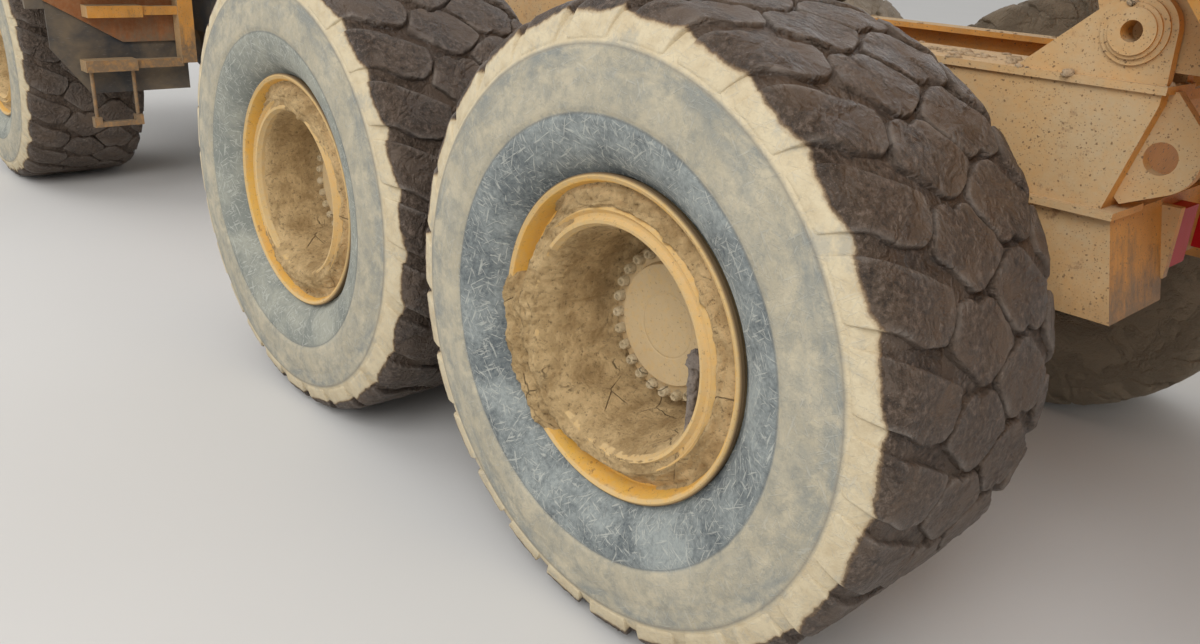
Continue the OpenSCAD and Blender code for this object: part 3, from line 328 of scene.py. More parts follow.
def paint_material(name, base, dust_low, dust_high):
    """Paint under dust, thick on upper and outer faces, thin on sheltered ones, with spots, runs and rust."""
    s = Shader(name)
    cloud = s.noise(1.7, 5, 0.6, 0.4)
    fine = s.noise(42, 5, 0.74)
    normal = s.facing()
    spot = s.split(s.position())
    up = s.ramp(normal["Z"], [(0.15, 0.0), (0.75, 1.0)])
    inward = s.math("LESS_THAN", s.times(s.math("SIGN", spot["Y"]), normal["Y"]), -0.4)
    behind = s.math("LESS_THAN", normal["X"], -0.6)
    below = s.math("LESS_THAN", normal["Z"], -0.4)
    sheltered = s.larger(s.larger(inward, behind), below)
    cover = s.ramp(cloud, [(0.30, dust_low), (0.68, dust_high)])
    cover = s.times(cover, s.minus(1.0, s.times(sheltered, 0.78)))
    cover = s.plus(cover, s.times(up, 0.5))
    cover = s.plus(cover, s.centred(fine, 0.7), clamp=True)
    streak = s.noise(9, 4, 0.6, 0.0, s.stretched((1.0, 1.0, 0.12)))
    run = s.ramp(streak, [(0.52, 0.0), (0.68, 1.0)])
    paint = s.mix(s.ramp(s.noise(6, 3), [(0.3, 0.0), (0.8, 1.0)]), base, shade(base, 0.72))
    paint = s.mix(s.times(run, 0.35), paint, shade(base, 0.5))
    dust = s.mix(s.noise(14, 5, 0.7), DUST, PALE_DUST)
    dust = s.mix(s.ramp(s.noise(2.6, 5, 0.65), [(0.42, 0.0), (0.66, 0.5)]), dust, OCHRE_DUST)
    colour = s.mix(cover, paint, dust)
    rusty = s.times(s.ramp(s.noise(17, 6, 0.75), [(0.58, 0.0), (0.68, 1.0)]), run)
    colour = s.mix(s.times(rusty, 0.8), colour, RUST)
    # small drops of mud, bent out of round
    bend = s.bent(45.0, 0.012)
    drops = s.ramp(s.cells(66, "F1", bend), [(0.14, 1.0), (0.20, 0.0)])
    drops = s.times(drops, s.ramp(s.noise(33, 3, 0.6), [(0.42, 0.0), (0.50, 0.85)]))
    small = s.ramp(s.cells(150, "F1", bend), [(0.12, 1.0), (0.22, 0.0)])
    small = s.times(small, s.ramp(s.noise(6, 3, 0.6), [(0.34, 0.25), (0.58, 0.85)]))
    spotted = s.larger(drops, small)
    colour = s.mix(spotted, colour, DROP_BROWN)
    # splashes that thin out upwards
    ragged = s.noise(14, 6, 0.72, 0.0, s.stretched((1.0, 1.0, 0.35)))
    splash = s.plus(s.times(spot["Z"], -2.7), s.times(ragged, 1.7))
    splash = s.ramp(s.plus(splash, 2.50), [(0.44, 0.0), (0.80, 0.92)])
    low_down = s.ramp(s.minus(spot["Z"], 0.45), [(0.30, 1.0), (0.55, 0.12)])
    splash = s.times(splash, s.larger(behind, low_down))
    splash = s.times(splash, s.ramp(s.noise(30, 5, 0.7), [(0.30, 0.5), (0.55, 1.0)]))
    colour = s.mix(splash, colour, s.mix(s.noise(11, 5, 0.7), SPLASH_DARK, SPLASH_DRY))
    height = s.plus(s.times(fine, 0.7), s.times(spotted, 0.8))
    bumped = s.bump(height, 0.55, 0.005)
    rough = s.ramp(cover, [(0.0, 0.42), (0.6, 0.9)])
    return s.finish(colour, rough, bumped)


# Radii on a tyre: where the bead ends, where the cream begins, and the two creases of the sidewall, which get
# lines of painted shade
BEAD_RADIUS = 0.535
CREAM_RADIUS = 0.680
OUTER_CREASE = 0.702
INNER_CREASE = 0.552
EDGE_ZOOM = 20.0
# Scratches: turn about the axle and size of the noise
HAIR_TURNS = [(0.3, 34.0), (1.0, 30.0), (1.8, 38.0), (2.6, 32.0)]
HAIR_FLOOR = 0.62


def tyre_material(name, dried=0.0, bead_dust=0.0):
    """Sidewall of blue-grey rubber, beige dust and a cream shoulder, and a tread of wet or dried mud."""
    s = Shader(name)
    radius = s.attribute("radius")
    tread = s.attribute("tread")
    angle = s.attribute("turn")
    rim = s.attribute("rim")
    place = s.plus(radius, s.centred(s.noise(7, 5, 0.65), 0.012))
    bead = s.ramp(s.times(s.minus(place, BEAD_RADIUS), EDGE_ZOOM), [(0.30, 0.0), (0.46, 1.0)])
    cream = s.ramp(s.times(s.minus(place, CREAM_RADIUS), EDGE_ZOOM), [(0.34, 0.0), (0.60, 1.0)])
    smear = s.noise(1.0, 6, 0.68, 0.4, s.join(s.times(radius, 17.0), s.times(angle, 5.2)))
    speckle = s.noise(85, 4, 0.72)
    blotch = s.ramp(s.noise(5.5, 6, 0.7, 0.3), [(0.40, 0.0), (0.62, 1.0)])
    # the bead: grey-blue rubber with pale dust in it
    bead_mix = s.plus(s.times(blotch, 0.30), s.times(speckle, 0.75))
    low = s.mix(s.ramp(bead_mix, [(0.22, 0.0), (0.70, 1.0)]), RUBBER_DARK, BEAD_BLUE)
    # the middle: beige dust with blotches of grey rubber, more of them near the outer crease
    near_crease = s.ramp(s.times(s.minus(radius, 0.55), 6.0), [(0.30, 0.0), (0.88, 1.0)])
    worn = s.plus(s.times(near_crease, 0.55), 0.30)
    worn = s.times(worn, s.ramp(smear, [(0.42, 0.0), (0.62, 1.0)]))
    worn = s.plus(worn, s.centred(speckle, 0.55), clamp=True)
    high = s.mix(worn, s.mix(blotch, BEIGE, BEIGE_PALE), RUBBER_GREY)
    low = s.mix(bead_dust, low, s.mix(blotch, BEAD_GREY, BEAD_BEIGE))
    fleck = s.ramp(s.noise(24, 6, 0.74), [(0.48, 0.0), (0.62, 0.42)])
    high = s.mix(fleck, high, FLECK_DARK)
    fleck = s.ramp(s.noise(19, 6, 0.74, 0.3), [(0.54, 0.0), (0.66, 0.5)])
    high = s.mix(fleck, high, FLECK_PALE)
    colour = s.mix(bead, low, high)
    pale = s.mix(s.ramp(s.noise(22, 5, 0.7), [(0.40, 0.0), (0.66, 1.0)]), CREAM, CREAM_DARK)
    grey = s.times(s.ramp(s.noise(9, 5, 0.7, 0.2), [(0.54, 0.0), (0.66, 1.0)]), 0.6)
    pale = s.mix(grey, pale, CREAM_GREY)
    colour = s.mix(cream, colour, pale)
    # hairline scratches in several directions, strongest on the bead
    hairs = 0.0
    for turn, scale in HAIR_TURNS:
        line = s.noise(scale, 3, 0.55, 0.3, s.drawn_out(turn, (5.5, 1.0, 0.5)))
        hairs = s.larger(hairs, s.ramp(line, [(HAIR_FLOOR, 0.0), (HAIR_FLOOR + 0.04, 1.0)]))
    strong = s.ramp(bead, [(0.0, 0.55), (1.0, 0.20)])
    colour = s.mix(s.times(hairs, strong), colour, HAIR_PALE)
    # painted shade: dark lines along the two creases of the sidewall
    crease_shade = s.ramp(s.distance(radius, OUTER_CREASE), [(0.0, 0.55), (0.006, 0.0)])
    colour = s.mix(crease_shade, colour, CREASE_SHADE_BROWN)
    crease_shade = s.ramp(s.distance(radius, INNER_CREASE), [(0.0, 0.5), (0.004, 0.0)])
    colour = s.mix(crease_shade, colour, CREASE_SHADE_GREY)
    # mud on the tread: damp patches, crumbly clusters, pale specks, and a lighter painted highlight along the
    # rounded rims of the lugs
    patch = s.noise(7, 6, 0.68)
    wet = s.mix(s.ramp(patch, [(0.36, 0.0), (0.62, 1.0)]), MUD_WET, MUD_DAMP)
    crumbs = s.noise(62, 5, 0.76)
    clusters = s.ramp(s.noise(9, 4, 0.6, 0.5), [(0.43, 0.0), (0.55, 1.0)])
    wet = s.mix(s.times(s.ramp(crumbs, [(0.50, 0.0), (0.64, 0.85)]), clusters), wet, CRUMB_PALE)
    wet = s.mix(s.times(s.ramp(crumbs, [(0.36, 0.85), (0.47, 0.0)]), clusters), wet, CRUMB_DARK)
    specks = s.ramp(s.cells(120), [(0.10, 0.5), (0.20, 0.0)])
    wet = s.mix(specks, wet, SPECK_PALE)
    # painted highlight: the rounded top edges of the lugs are lighter, in patches
    lug_rim_highlight = s.times(rim, s.ramp(s.noise(8, 4, 0.6), [(0.42, 0.0), (0.64, 0.8)]))
    wet = s.mix(lug_rim_highlight, wet, LUG_HIGHLIGHT_PALE)
    wet = s.mix(dried, wet, s.mix(patch, DRIED_DARK, DRIED_PALE))
    edge = s.plus(tread, s.centred(s.noise(24, 6, 0.7), 0.55))
    stained = s.ramp(edge, [(0.36, 0.0), (0.60, 1.0)])
    colour = s.mix(stained, colour, STAIN_BROWN)
    muddy = s.ramp(edge, [(0.50, 0.0), (0.66, 1.0)])
    colour = s.mix(muddy, colour, wet)
    grain = s.noise(150, 5, 0.7)
    lumps = s.noise(30, 6, 0.72)
    crumbly = s.times(crumbs, s.plus(s.times(clusters, 2.0), 0.45))
    rough_lumps = s.plus(s.times(lumps, 0.8), crumbly)
    height = s.plus(s.times(grain, 0.30), s.times(rough_lumps, s.times(muddy, 1.6)))
    height = s.plus(height, s.times(hairs, 0.08))
    mud_rough = s.ramp(patch, [(0.36, 0.30 + 0.5 * dried), (0.62, 0.60 + 0.3 * dried)])
    return s.finish(colour, s.blend(muddy, 0.88, mud_rough), s.bump(height, 0.75, 0.011))


# Dust on a rim by share of its radius: hub, recess, ridges, gutter, cone, lip, edge
RIM_DUST = [(0.0, 1.0), (0.60, 0.97), (0.70, 0.90), (0.83, 0.72), (0.90, 0.22), (0.950, 0.25), (0.965, 0.85)]
HUB_GROOVE = 0.086


def rim_material(name):
    """Yellow paint on the lip and the cone, tan dust on the ridges and the hub, by distance from the axle."""
    s = Shader(name)
    place = s.split(s.add("ShaderNodeTexCoord").outputs["Generated"])
    across = s.centred(place["X"], RIM_SIZE.x)
    up = s.centred(place["Z"], RIM_SIZE.z)
    radius = s.math("SQRT", s.plus(s.times(across, across), s.times(up, up)))
    share = s.math("DIVIDE", s.plus(radius, s.centred(s.noise(20, 4), 0.02)), RIM_RADIUS)
    fine = s.noise(60, 5, 0.72)
    cloud = s.ramp(s.noise(7, 5, 0.6, 0.4), [(0.35, 0.0), (0.65, 1.0)])
    paint = s.mix(s.times(cloud, 0.45), YELLOW, ORANGE)
    dust = s.mix(s.noise(16, 5, 0.65), DUST, HUB_DUST)
    dust = s.mix(s.ramp(share, [(0.64, 0.0), (0.72, 0.40)]), dust, RIDGE_DUST)
    cover = s.plus(s.ramp(share, RIM_DUST), s.centred(fine, 1.1), clamp=True)
    colour = s.mix(cover, paint, dust)
    specks = s.ramp(s.noise(110, 4, 0.75), [(0.60, 0.0), (0.68, 0.7)])
    colour = s.mix(specks, colour, RIM_SPECK)
    # painted shade: a dark line along the outer edge of the lip, where it meets the tyre
    outer = s.ramp(s.math("DIVIDE", radius, RIM_RADIUS), [(0.986, 0.0), (0.996, 0.85)])
    colour = s.mix(outer, colour, RIM_EDGE_SHADE)
    chips = s.ramp(s.noise(24, 6, 0.75), [(0.60, 0.0), (0.68, 1.0)])
    chips = s.times(chips, s.ramp(share, [(0.80, 0.0), (0.92, 0.75)]))
    colour = s.mix(chips, colour, CHIP_BROWN)
    groove = s.ramp(s.distance(radius, HUB_GROOVE), [(0.0, 1.0), (0.004, 0.0)])
    height = s.minus(s.times(fine, 0.6), s.times(groove, 0.7))
    return s.finish(colour, s.ramp(cover, [(0.0, 0.38), (0.5, 0.85)]), s.bump(height, 0.5, 0.004))


def mud_material(name, dark, light, rough):
    """Dried mud: broad shades, painted shade in the pits between its grains, a painted highlight on the
    grains' tops, and a few cracks.
    """
    s = Shader(name)
    broad = s.noise(12, 5, 0.66, 0.3)
    grain = s.noise(75, 6, 0.78)
    colour = s.mix(s.ramp(broad, [(0.36, 0.0), (0.62, 1.0)]), dark, light)
    # painted shade: a darker copy of the mud in the pits between the grains, where the bump is low
    colour = s.mix(s.ramp(grain, [(0.34, 0.80), (0.46, 0.0)]), colour, shade(dark, 0.36))
    # painted highlight: a paler copy of the mud on the grains' tops, where the bump is high
    pale = tuple(min(c * 1.25, 0.9) for c in light)
    colour = s.mix(s.ramp(grain, [(0.56, 0.0), (0.72, 0.55)]), colour, pale)
    seam = s.ramp(s.cells(9, "DISTANCE_TO_EDGE"), [(0.0, 1.0), (0.018, 0.0)])
    seam = s.times(seam, s.ramp(s.noise(6, 3, 0.6), [(0.52, 0.0), (0.60, 0.8)]))
    colour = s.mix(seam, colour, shade(dark, 0.25))
    height = s.minus(s.plus(grain, s.times(broad, 0.8)), s.times(seam, 0.7))
    return s.finish(colour, rough, s.bump(height, 0.9, 0.012), specular=0.3)


GLASS_CLEARNESS = 0.92
GLASS_IOR = 1.45


def steel_material(name, tint, dust):
    s = Shader(name)
    cover = s.ramp(s.noise(9, 5, 0.65), [(0.35, 0.0), (0.65, dust)])
    brushed = s.noise(80, 3, 0.6)
    colour = s.mix(cover, s.mix(brushed, shade(tint, 0.7), tint), DUST)
    metal = s.times(s.minus(1.0, cover), 0.9)
    rough = s.ramp(cover, [(0.0, 0.32), (0.6, 0.85)])
    return s.finish(colour, rough, s.bump(brushed, 0.15, 0.001), metal)


def dark_material(name, base, dust):
    s = Shader(name)
    cloud = s.noise(3.4, 5, 0.62, 0.3)
    cover = s.ramp(cloud, [(0.38, 0.04), (0.75, dust)])
    up = s.ramp(s.facing()["Z"], [(0.2, 0.0), (0.8, 0.55)])
    cover = s.plus(cover, up, clamp=True)
    scratch = s.ramp(s.noise(26, 3, 0.6, 0.0, s.stretched((0.6, 1.0, 6.0))), [(0.62, 0.0), (0.70, 0.4)])
    colour = s.mix(cover, base, shade(DUST, 0.8))
    colour = s.mix(scratch, colour, SCRATCH_GREY)
    grain = s.noise(90, 4, 0.7)
    rough = s.ramp(cover, [(0.0, 0.45), (0.5, 0.85)])
    return s.finish(colour, rough, s.bump(grain, 0.25, 0.003))


def glass_material(name, tint):
    s = Shader(name)
    s.surface.inputs["Transmission Weight"].default_value = GLASS_CLEARNESS
    s.surface.inputs["IOR"].default_value = GLASS_IOR
    dust = s.ramp(s.noise(5, 5, 0.65), [(0.45, 0.03), (0.75, 0.28)])
    colour = s.mix(dust, tint, DUST)
    return s.finish(colour, s.ramp(dust, [(0.0, 0.04), (0.3, 0.5)]))


def lens_material(name, tint):
    s = Shader(name)
    dust = s.ramp(s.noise(14, 4, 0.6), [(0.50, 0.0), (0.8, 0.15)])
    lines = s.noise(20, 2, 0.5, 0.0, s.stretched((1.0, 9.0, 1.0)))
    gloss = s.ramp(dust, [(0.0, 0.45), (0.5, 0.8)])
    return s.finish(s.mix(dust, tint, DUST), gloss, s.bump(lines, 0.3, 0.002), 0.0, 0.15)


MATERIALS = {
    "paint": paint_material("paint_dusty", ORANGE, 0.62, 1.0),
    "rim_paint": rim_material("rim_paint"),
    "bed_paint": paint_material("bed_paint", ORANGE, 0.15, 0.75),
    "grimy_paint": paint_material("grimy_paint", GRIMY_ORANGE, 0.10, 0.55),
    "cab_paint": paint_material("cab_paint", YELLOW, 0.0, 0.5),
    "dark_paint": dark_material("dark_paint", NAVY, 0.55),
    "steel": steel_material("steel", STEEL_GREY, 0.75),
    "tyre": tyre_material("tyre_rubber"),
    "tyre_grey": tyre_material("tyre_dusty_bead", 0.0, 0.6),
    "tyre_dry": tyre_material("tyre_dried_mud", 0.75, 0.4),
    "rim_mud": mud_material("rim_mud", RIM_MUD_DARK, RIM_MUD_LIGHT, 0.92),
    "hub_bolts": mud_material("hub_bolts", BOLT_DARK, BOLT_LIGHT, 0.8),
    "crumbs": mud_material("crumbs", CRUMBS_DARK, CRUMBS_LIGHT, 0.92),
    "grey_mud": mud_material("grey_mud", CLOD_DARK, CLOD_LIGHT, 0.8),
    "window": glass_material("window_glass", WINDOW_TINT),
    "lamp": glass_material("lamp_glass", LAMP_TINT),
    "red_lens": lens_material("red_lens", LENS_RED),
    "cab_plastic": dark_material("cab_plastic", CAB_BLACK, 0.25),
}

NODE_LOOKS = {
    "cab_shell": "cab_paint", "cab_door": "cab_paint", "hood": "cab_paint", "dump_bed": "bed_paint",
    "cab_glass": "window", "door_glass": "window", "headlamps": "lamp", "tail_lamps": "red_lens",
    "cab_interior": "cab_plastic", "side_boxes": "grimy_paint",
}
SLOT_LOOKS = {"paint": "paint", "dark_paint": "dark_paint", "steel": "steel", "tyre_rubber": "tyre"}


def dress_nodes():
    """Gives every CAD node the material of its slot, or its own."""
    slots = {p["node"]: p["material_slot"] for p in frame["record"]["subparts"]}
    for name, obj in frame["nodes"].items():
        look = NODE_LOOKS.get(name) or SLOT_LOOKS.get(slots.get(name), "paint")
        if name.startswith("rim_"):
            look = "rim_paint"
        obj.data.materials.clear()
        obj.data.materials.append(MATERIALS[look])


dress_nodes()


# Mesh helpers
def place_mesh(mesh, material, body, origin):
    """A smooth object at its place, riding on a body."""
    mesh.polygons.foreach_set("use_smooth", [True] * len(mesh.polygons))
    mesh.materials.append(MATERIALS[material])
    obj = bpy.data.objects.new(mesh.name, mesh)
    obj.location = origin
    bpy.context.scene.collection.objects.link(obj)
    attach(obj, body)
    return obj


def add_piece(name, verts, faces, material, body, origin, fields=None):
    """An object made of points and faces and a value for each point in each of its fields."""
    mesh = bpy.data.meshes.new(name)
    mesh.from_pydata([tuple(v) for v in verts], [], [tuple(f) for f in faces])
    mesh.validate()
    for key, values in (fields or {}).items():
        layer = mesh.attributes.new(key, "FLOAT", "POINT")
        layer.data.foreach_set("value", np.asarray(values, np.float32))
    obj = place_mesh(mesh, material, body, origin)
    return obj


def flipped(faces):
    return [f[::-1] for f in faces]


def grid_faces(rows, columns, wrap, offset=0):
    """Quads of a grid of points stored row by row; wrap joins the last row to the first."""
    faces = []
    for i in range(rows if wrap else rows - 1):
        for j in range(columns - 1):
            a = offset + i * columns + j
            b = offset + ((i + 1) % rows) * columns + j
            faces.append((a, b, b + 1, a + 1))
    return faces


class Profile:
    """A polyline of (radius, distance from the wheel's middle), smoothed and read by arc length."""

    def __init__(self, points, rounds=2):
        line = np.array(points, float)
        for _ in range(rounds):
            cut = np.empty((2 * len(line), 2))
            cut[0], cut[-1] = line[0], line[-1]
            cut[1:-1:2] = line[:-1] * 0.75 + line[1:] * 0.25
            cut[2:-1:2] = line[:-1] * 0.25 + line[1:] * 0.75
            line = cut
        step = np.hypot(*np.diff(line, axis=0).T)
        keep = np.r_[True, step > 1e-6]
        self.line = line[keep]
        self.at = np.r_[0, np.cumsum(np.hypot(*np.diff(self.line, axis=0).T))]
        self.length = self.at[-1]

    def point(self, v):
        return np.stack([np.interp(v, self.at, self.line[:, k]) for k in (0, 1)], -1)

    def normal(self, v):
        span = self.point(np.clip(v + 0.004, 0, self.length)) - self.point(np.clip(v - 0.004, 0, self.length))
        span /= np.maximum(np.linalg.norm(span, axis=-1, keepdims=True), 1e-9)
        return np.stack([span[..., 1], -span[..., 0]], -1)


# Tyres. v runs from the middle of the tread (0) over the shoulder and down the sidewall.
LUG_COUNT = 26
PITCH_ANGLE = 2 * math.pi / LUG_COUNT
CROWN = TYRE_RADIUS - 0.0015
HALF_OUTLINE = [
    (CROWN, 0.0), (CROWN, 0.15), (CROWN - 0.002, 0.25), (CROWN - 0.006, 0.298), (0.786, 0.330),
    (0.742, 0.347), (0.705, 0.356), (0.660, 0.362), (0.600, 0.370), (0.555, 0.369), (0.500, 0.356),
    (0.462, 0.338), (0.438, 0.318), (0.424, 0.296), (0.410, 0.287)]
HALF = Profile(HALF_OUTLINE)
LUG_END = 0.405
LUG_FOOT = LUG_END + 0.012
# Places of the carcass points across the tread, before the even ones down the sidewall
TREAD_STEPS = [0, 0.07, 0.14, 0.20, 0.25, 0.29, 0.32, 0.345, 0.37, 0.39, LUG_END, LUG_FOOT]
SIDEWALL_START = 0.435
# Rings of the sidewall: radius, width, how far they sink
SIDEWALL_RINGS = [(0.553, 0.006, 0.004), (0.700, 0.010, -0.0022), (0.655, 0.006, 0.002)]
# A lug's wall and rounded edge: outward move, share of its depth, strength of the painted highlight on its
# rim
LUG_RINGS = [
    (0.0045, 1.0, 0.0), (0.0012, 0.40, 0.2), (-0.0008, 0.12, 0.9), (-0.0035, 0.025, 1.0), (-0.009, 0.0, 0.5)]
# Depth of the tread at some v: full on the crown, shallow at the end of a shoulder lug
DEPTH_PLACES = [0, 0.27, 0.34, LUG_END, LUG_FOOT]
DEPTHS = [0.024, 0.024, 0.022, 0.003, 0.0]
CORNER_SHARE = 0.4


def outline_rounded(points, radius, step):
    """An outline with rounded corners and its edges cut into short pieces."""
    count = len(points)
    made = []
    for i in range(count):
        a, b, c = points[i - 1], points[i], points[(i + 1) % count]
        r1 = min(radius, np.linalg.norm(a - b) * CORNER_SHARE)
        r2 = min(radius, np.linalg.norm(c - b) * CORNER_SHARE)
        p = b + (a - b) / np.linalg.norm(a - b) * r1
        q = b + (c - b) / np.linalg.norm(c - b) * r2
        for t in (0.0, 0.33, 0.67, 1.0):
            made.append((1 - t) ** 2 * p + 2 * t * (1 - t) * b + t * t * q)
        end = c + (b - c) / np.linalg.norm(b - c) * min(radius, np.linalg.norm(b - c) * CORNER_SHARE)
        parts = max(1, int(np.linalg.norm(end - q) / step))
        for k in range(1, parts):
            made.append(q + (end - q) * k / parts)
    return np.array(made)


# One lug of the middle row and one of the outer shoulder, as (v, u) with u along the tread
# Half a turn about the point (MIDDLE_V, MIDDLE_U) gives the other two lugs of a pitch
MIDDLE_V = -0.070
MIDDLE_U = 0.052
MIDDLE_LUG = [
    (0.098, -0.003), (0.058, -0.010), (0.036, 0.008), (0.022, 0.009), (0.000, -0.002), (-0.028, 0.006),
    (-0.087, 0.083), (-0.104, 0.117), (-0.058, 0.155), (-0.004, 0.182), (0.035, 0.181), (0.148, 0.083),
    (0.117, 0.030)]
SHOULDER_START = 0.112
SHOULDER_LUG = [
    (LUG_END, -0.175), (0.341, -0.152), (0.258, -0.112), (0.191, -0.080), (SHOULDER_START, -0.038),
    (0.114, 0.005), (0.138, 0.048), (0.168, 0.064), (0.245, 0.050), (0.300, 0.010), (LUG_END, -0.028)]


def lug_outlines():
    """Outlines of the lugs in one pitch, as (v, u). The inner shoulder is narrower than the outer one."""
    narrow = (LUG_END + 2 * MIDDLE_V - SHOULDER_START) / (LUG_END - SHOULDER_START)

    def half_turn(points):
        turned = []
        for v, u in points:
            across = 2 * MIDDLE_V - min(v, SHOULDER_START) - max(v - SHOULDER_START, 0) * narrow
            turned.append((across, 2 * MIDDLE_U - u))
        return turned

    return [np.array(p) for p in (MIDDLE_LUG, half_turn(MIDDLE_LUG), SHOULDER_LUG, half_turn(SHOULDER_LUG))]


def counter_clockwise(points):
    area = np.sum(points[:, 0] * np.roll(points[:, 1], -1) - np.roll(points[:, 0], -1) * points[:, 1])
    return points if area > 0 else points[::-1]


def lug_depth_at(v):
    return np.interp(np.abs(v), DEPTH_PLACES, DEPTHS)


def tread_shade(v, angle):
    """1 on the muddy tread and inner side, 0 on the outer sidewall; the border dips at every groove."""
    bulge = np.abs(np.sin(math.pi * (angle / PITCH_ANGLE))) ** 0.5
    border = 0.355 - 0.022 * (1 - bulge) + 0.005 * np.sin(angle * 3 + 1)
    return np.where(v < 0, 1.0, np.clip((border - np.abs(v)) / 0.05 + 0.5, 0, 1))


def tyre_points(v, angle, depth):
    """Points of a tyre about its own centre, with the wheel's axis along Y and +Y outboard."""
    sign = np.where(v < 0, -1.0, 1.0)
    flat = HALF.point(np.abs(v))
    out = HALF.normal(np.abs(v))
    radius = flat[..., 0] + out[..., 0] * -depth
    across = (flat[..., 1] + out[..., 1] * -depth) * sign
    return np.stack([radius * np.cos(angle), across, radius * np.sin(angle)], -1), radius


def roughen(points, seed, size, amount):
    """Fractal noise, one value for each point."""
    shift = Vector((seed * 3.1, seed * 1.7, -seed * 2.3))
    return np.array([noise.fractal(Vector(p) * size + shift, 0.7, 2.1, 4) for p in points]) * amount


class TyreMesh:
    """Points and faces of a tyre, with the values that its material reads at each point."""

    def __init__(self, phase):
        self.phase = phase
        self.count = 0
        self.faces = []
        self.verts, self.radii, self.treads, self.turns, self.rims = [], [], [], [], []

    def store(self, v, angle, depth, rim):
        """Adds points and returns the number of the first."""
        points, radius = tyre_points(v, angle, depth)
        self.verts.append(points)
        self.radii.append(radius)
        self.treads.append(tread_shade(v, angle - self.phase))
        self.turns.append(angle)
        self.rims.append(np.broadcast_to(rim, np.shape(v)))
        first = self.count
        self.count += len(points)
        return first

    def add_carcass(self, fine, seed):
        """The floor of the grooves, partly filled with mud, and the sidewalls with their rings."""
        around = LUG_COUNT * (12 if fine else 6)
        v_half = np.r_[TREAD_STEPS, np.linspace(SIDEWALL_START, HALF.length, 44 if fine else 20)]
        v_all = np.r_[-v_half[:0:-1], v_half]
        v, angle = np.meshgrid(v_all, np.linspace(0, 2 * math.pi, around, endpoint=False))
        v, angle = v.ravel(), angle.ravel()
        spots = np.stack([np.cos(angle) * 0.8, v, np.sin(angle) * 0.8], -1)
        fill = np.clip(0.30 + roughen(spots, seed + 4, 9.0, 0.45), 0.0, 0.6) * (np.abs(v) < LUG_END)
        depth = lug_depth_at(v) * (1 - fill) + 0.0004
        radius = HALF.point(np.abs(v))[:, 0]
        for ring_radius, width, sink in SIDEWALL_RINGS:
            depth = depth + sink * np.exp(-((radius - ring_radius) / width) ** 2) * (np.abs(v) > LUG_END)
        self.faces += grid_faces(around, len(v_all), True, self.store(v, angle, depth, 0.0))

    def add_lug(self, layers, middle, base):
        """A lug of closed rings, one above the other, and a point in the middle of its top."""
        size = len(layers[0][0])
        previous = None
        for ring, share, rim in layers:
            v = ring[:, 0]
            first = self.store(v, base + ring[:, 1] / TYRE_RADIUS, lug_depth_at(v) * share, rim)
            if previous is not None:
                for i in range(size):
                    j = (i + 1) % size
                    self.faces.append((previous + i, previous + j, first + j, first + i))
            previous = first
        last = self.store(middle[:1], base + middle[1:] / TYRE_RADIUS, np.zeros(1), 0.0)
        for i in range(size):
            self.faces.append((previous + i, previous + (i + 1) % size, last))

    def add_lugs(self, fine):
        shrinks = (0.82, 0.60, 0.36, 0.15) if fine else (0.5,)
        for outline in lug_outlines():
            edge = outline_rounded(counter_clockwise(outline), 0.010, 0.016 if fine else 0.040)
            middle = edge.mean(0)
            outward = (edge - middle) / np.linalg.norm(edge - middle, axis=1, keepdims=True)
            layers = [(edge + outward * move, share, rim) for move, share, rim in LUG_RINGS]
            top = layers[-1][0]
            layers += [(middle + (top - middle) * shrink, 0.0, 0.0) for shrink in shrinks]
            for k in range(LUG_COUNT):
                self.add_lug(layers, middle, k * PITCH_ANGLE + self.phase)

    def fields(self):
        return {"radius": np.concatenate(self.radii), "tread": np.concatenate(self.treads),
                "turn": np.concatenate(self.turns), "rim": np.concatenate(self.rims)}


def build_tyre(name, centre, side, body, look, fine, seed, phase):
    """A tyre with its axis along Y through its centre."""
    tyre = TyreMesh(phase)
    tyre.add_carcass(fine, seed)
    tyre.add_lugs(fine)
    points = np.concatenate(tyre.verts)
    fields = tyre.fields()
    # mud lumps on the tread sink and swell its surface a little
    rise = roughen(points, seed, 16.0, 0.0035) + roughen(points, seed + 9, 45.0, 0.0018)
    rise = np.minimum(rise - 0.0012, 0.001) * np.clip(fields["tread"] * 1.5, 0.08, 1)
    length = np.hypot(points[:, 0], points[:, 2])
    points[:, 0] *= (length + rise) / length
    points[:, 2] *= (length + rise) / length
    points[:, 1] *= side
    # the grids wind inwards on the +Y side
    faces = flipped(tyre.faces) if side > 0 else tyre.faces
    return add_piece(name, points, faces, look, body, centre, fields)


# Turn of the tread about its axle in degrees: at first, for each step of the seed, half of the right side's
FIRST_TURN = 6.7
SEED_TURN = 1.9
SIDE_TURN = 3.1
TYRE_SEEDS = {"rear": 3, "mid": 7, "front": 11}


def build_tyres():
    for row, seed in TYRE_SEEDS.items():
        for side, sign in SIDES.items():
            cad = f"tyre_{row}_{side}"
            body = f"wheel_{row}_{side}"
            fine = side == "left" and row != "front"
            look = "tyre_dry" if side == "right" else "tyre" if row == "rear" else "tyre_grey"
            phase = math.radians(FIRST_TURN + SEED_TURN * (seed - 3) + SIDE_TURN * (1 - sign))
            centre = node_centre(cad)
            tyre = build_tyre(f"tread_{row}_{side}", centre, sign, body, look, fine, seed + sign, phase)
            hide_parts(cad)


build_tyres()


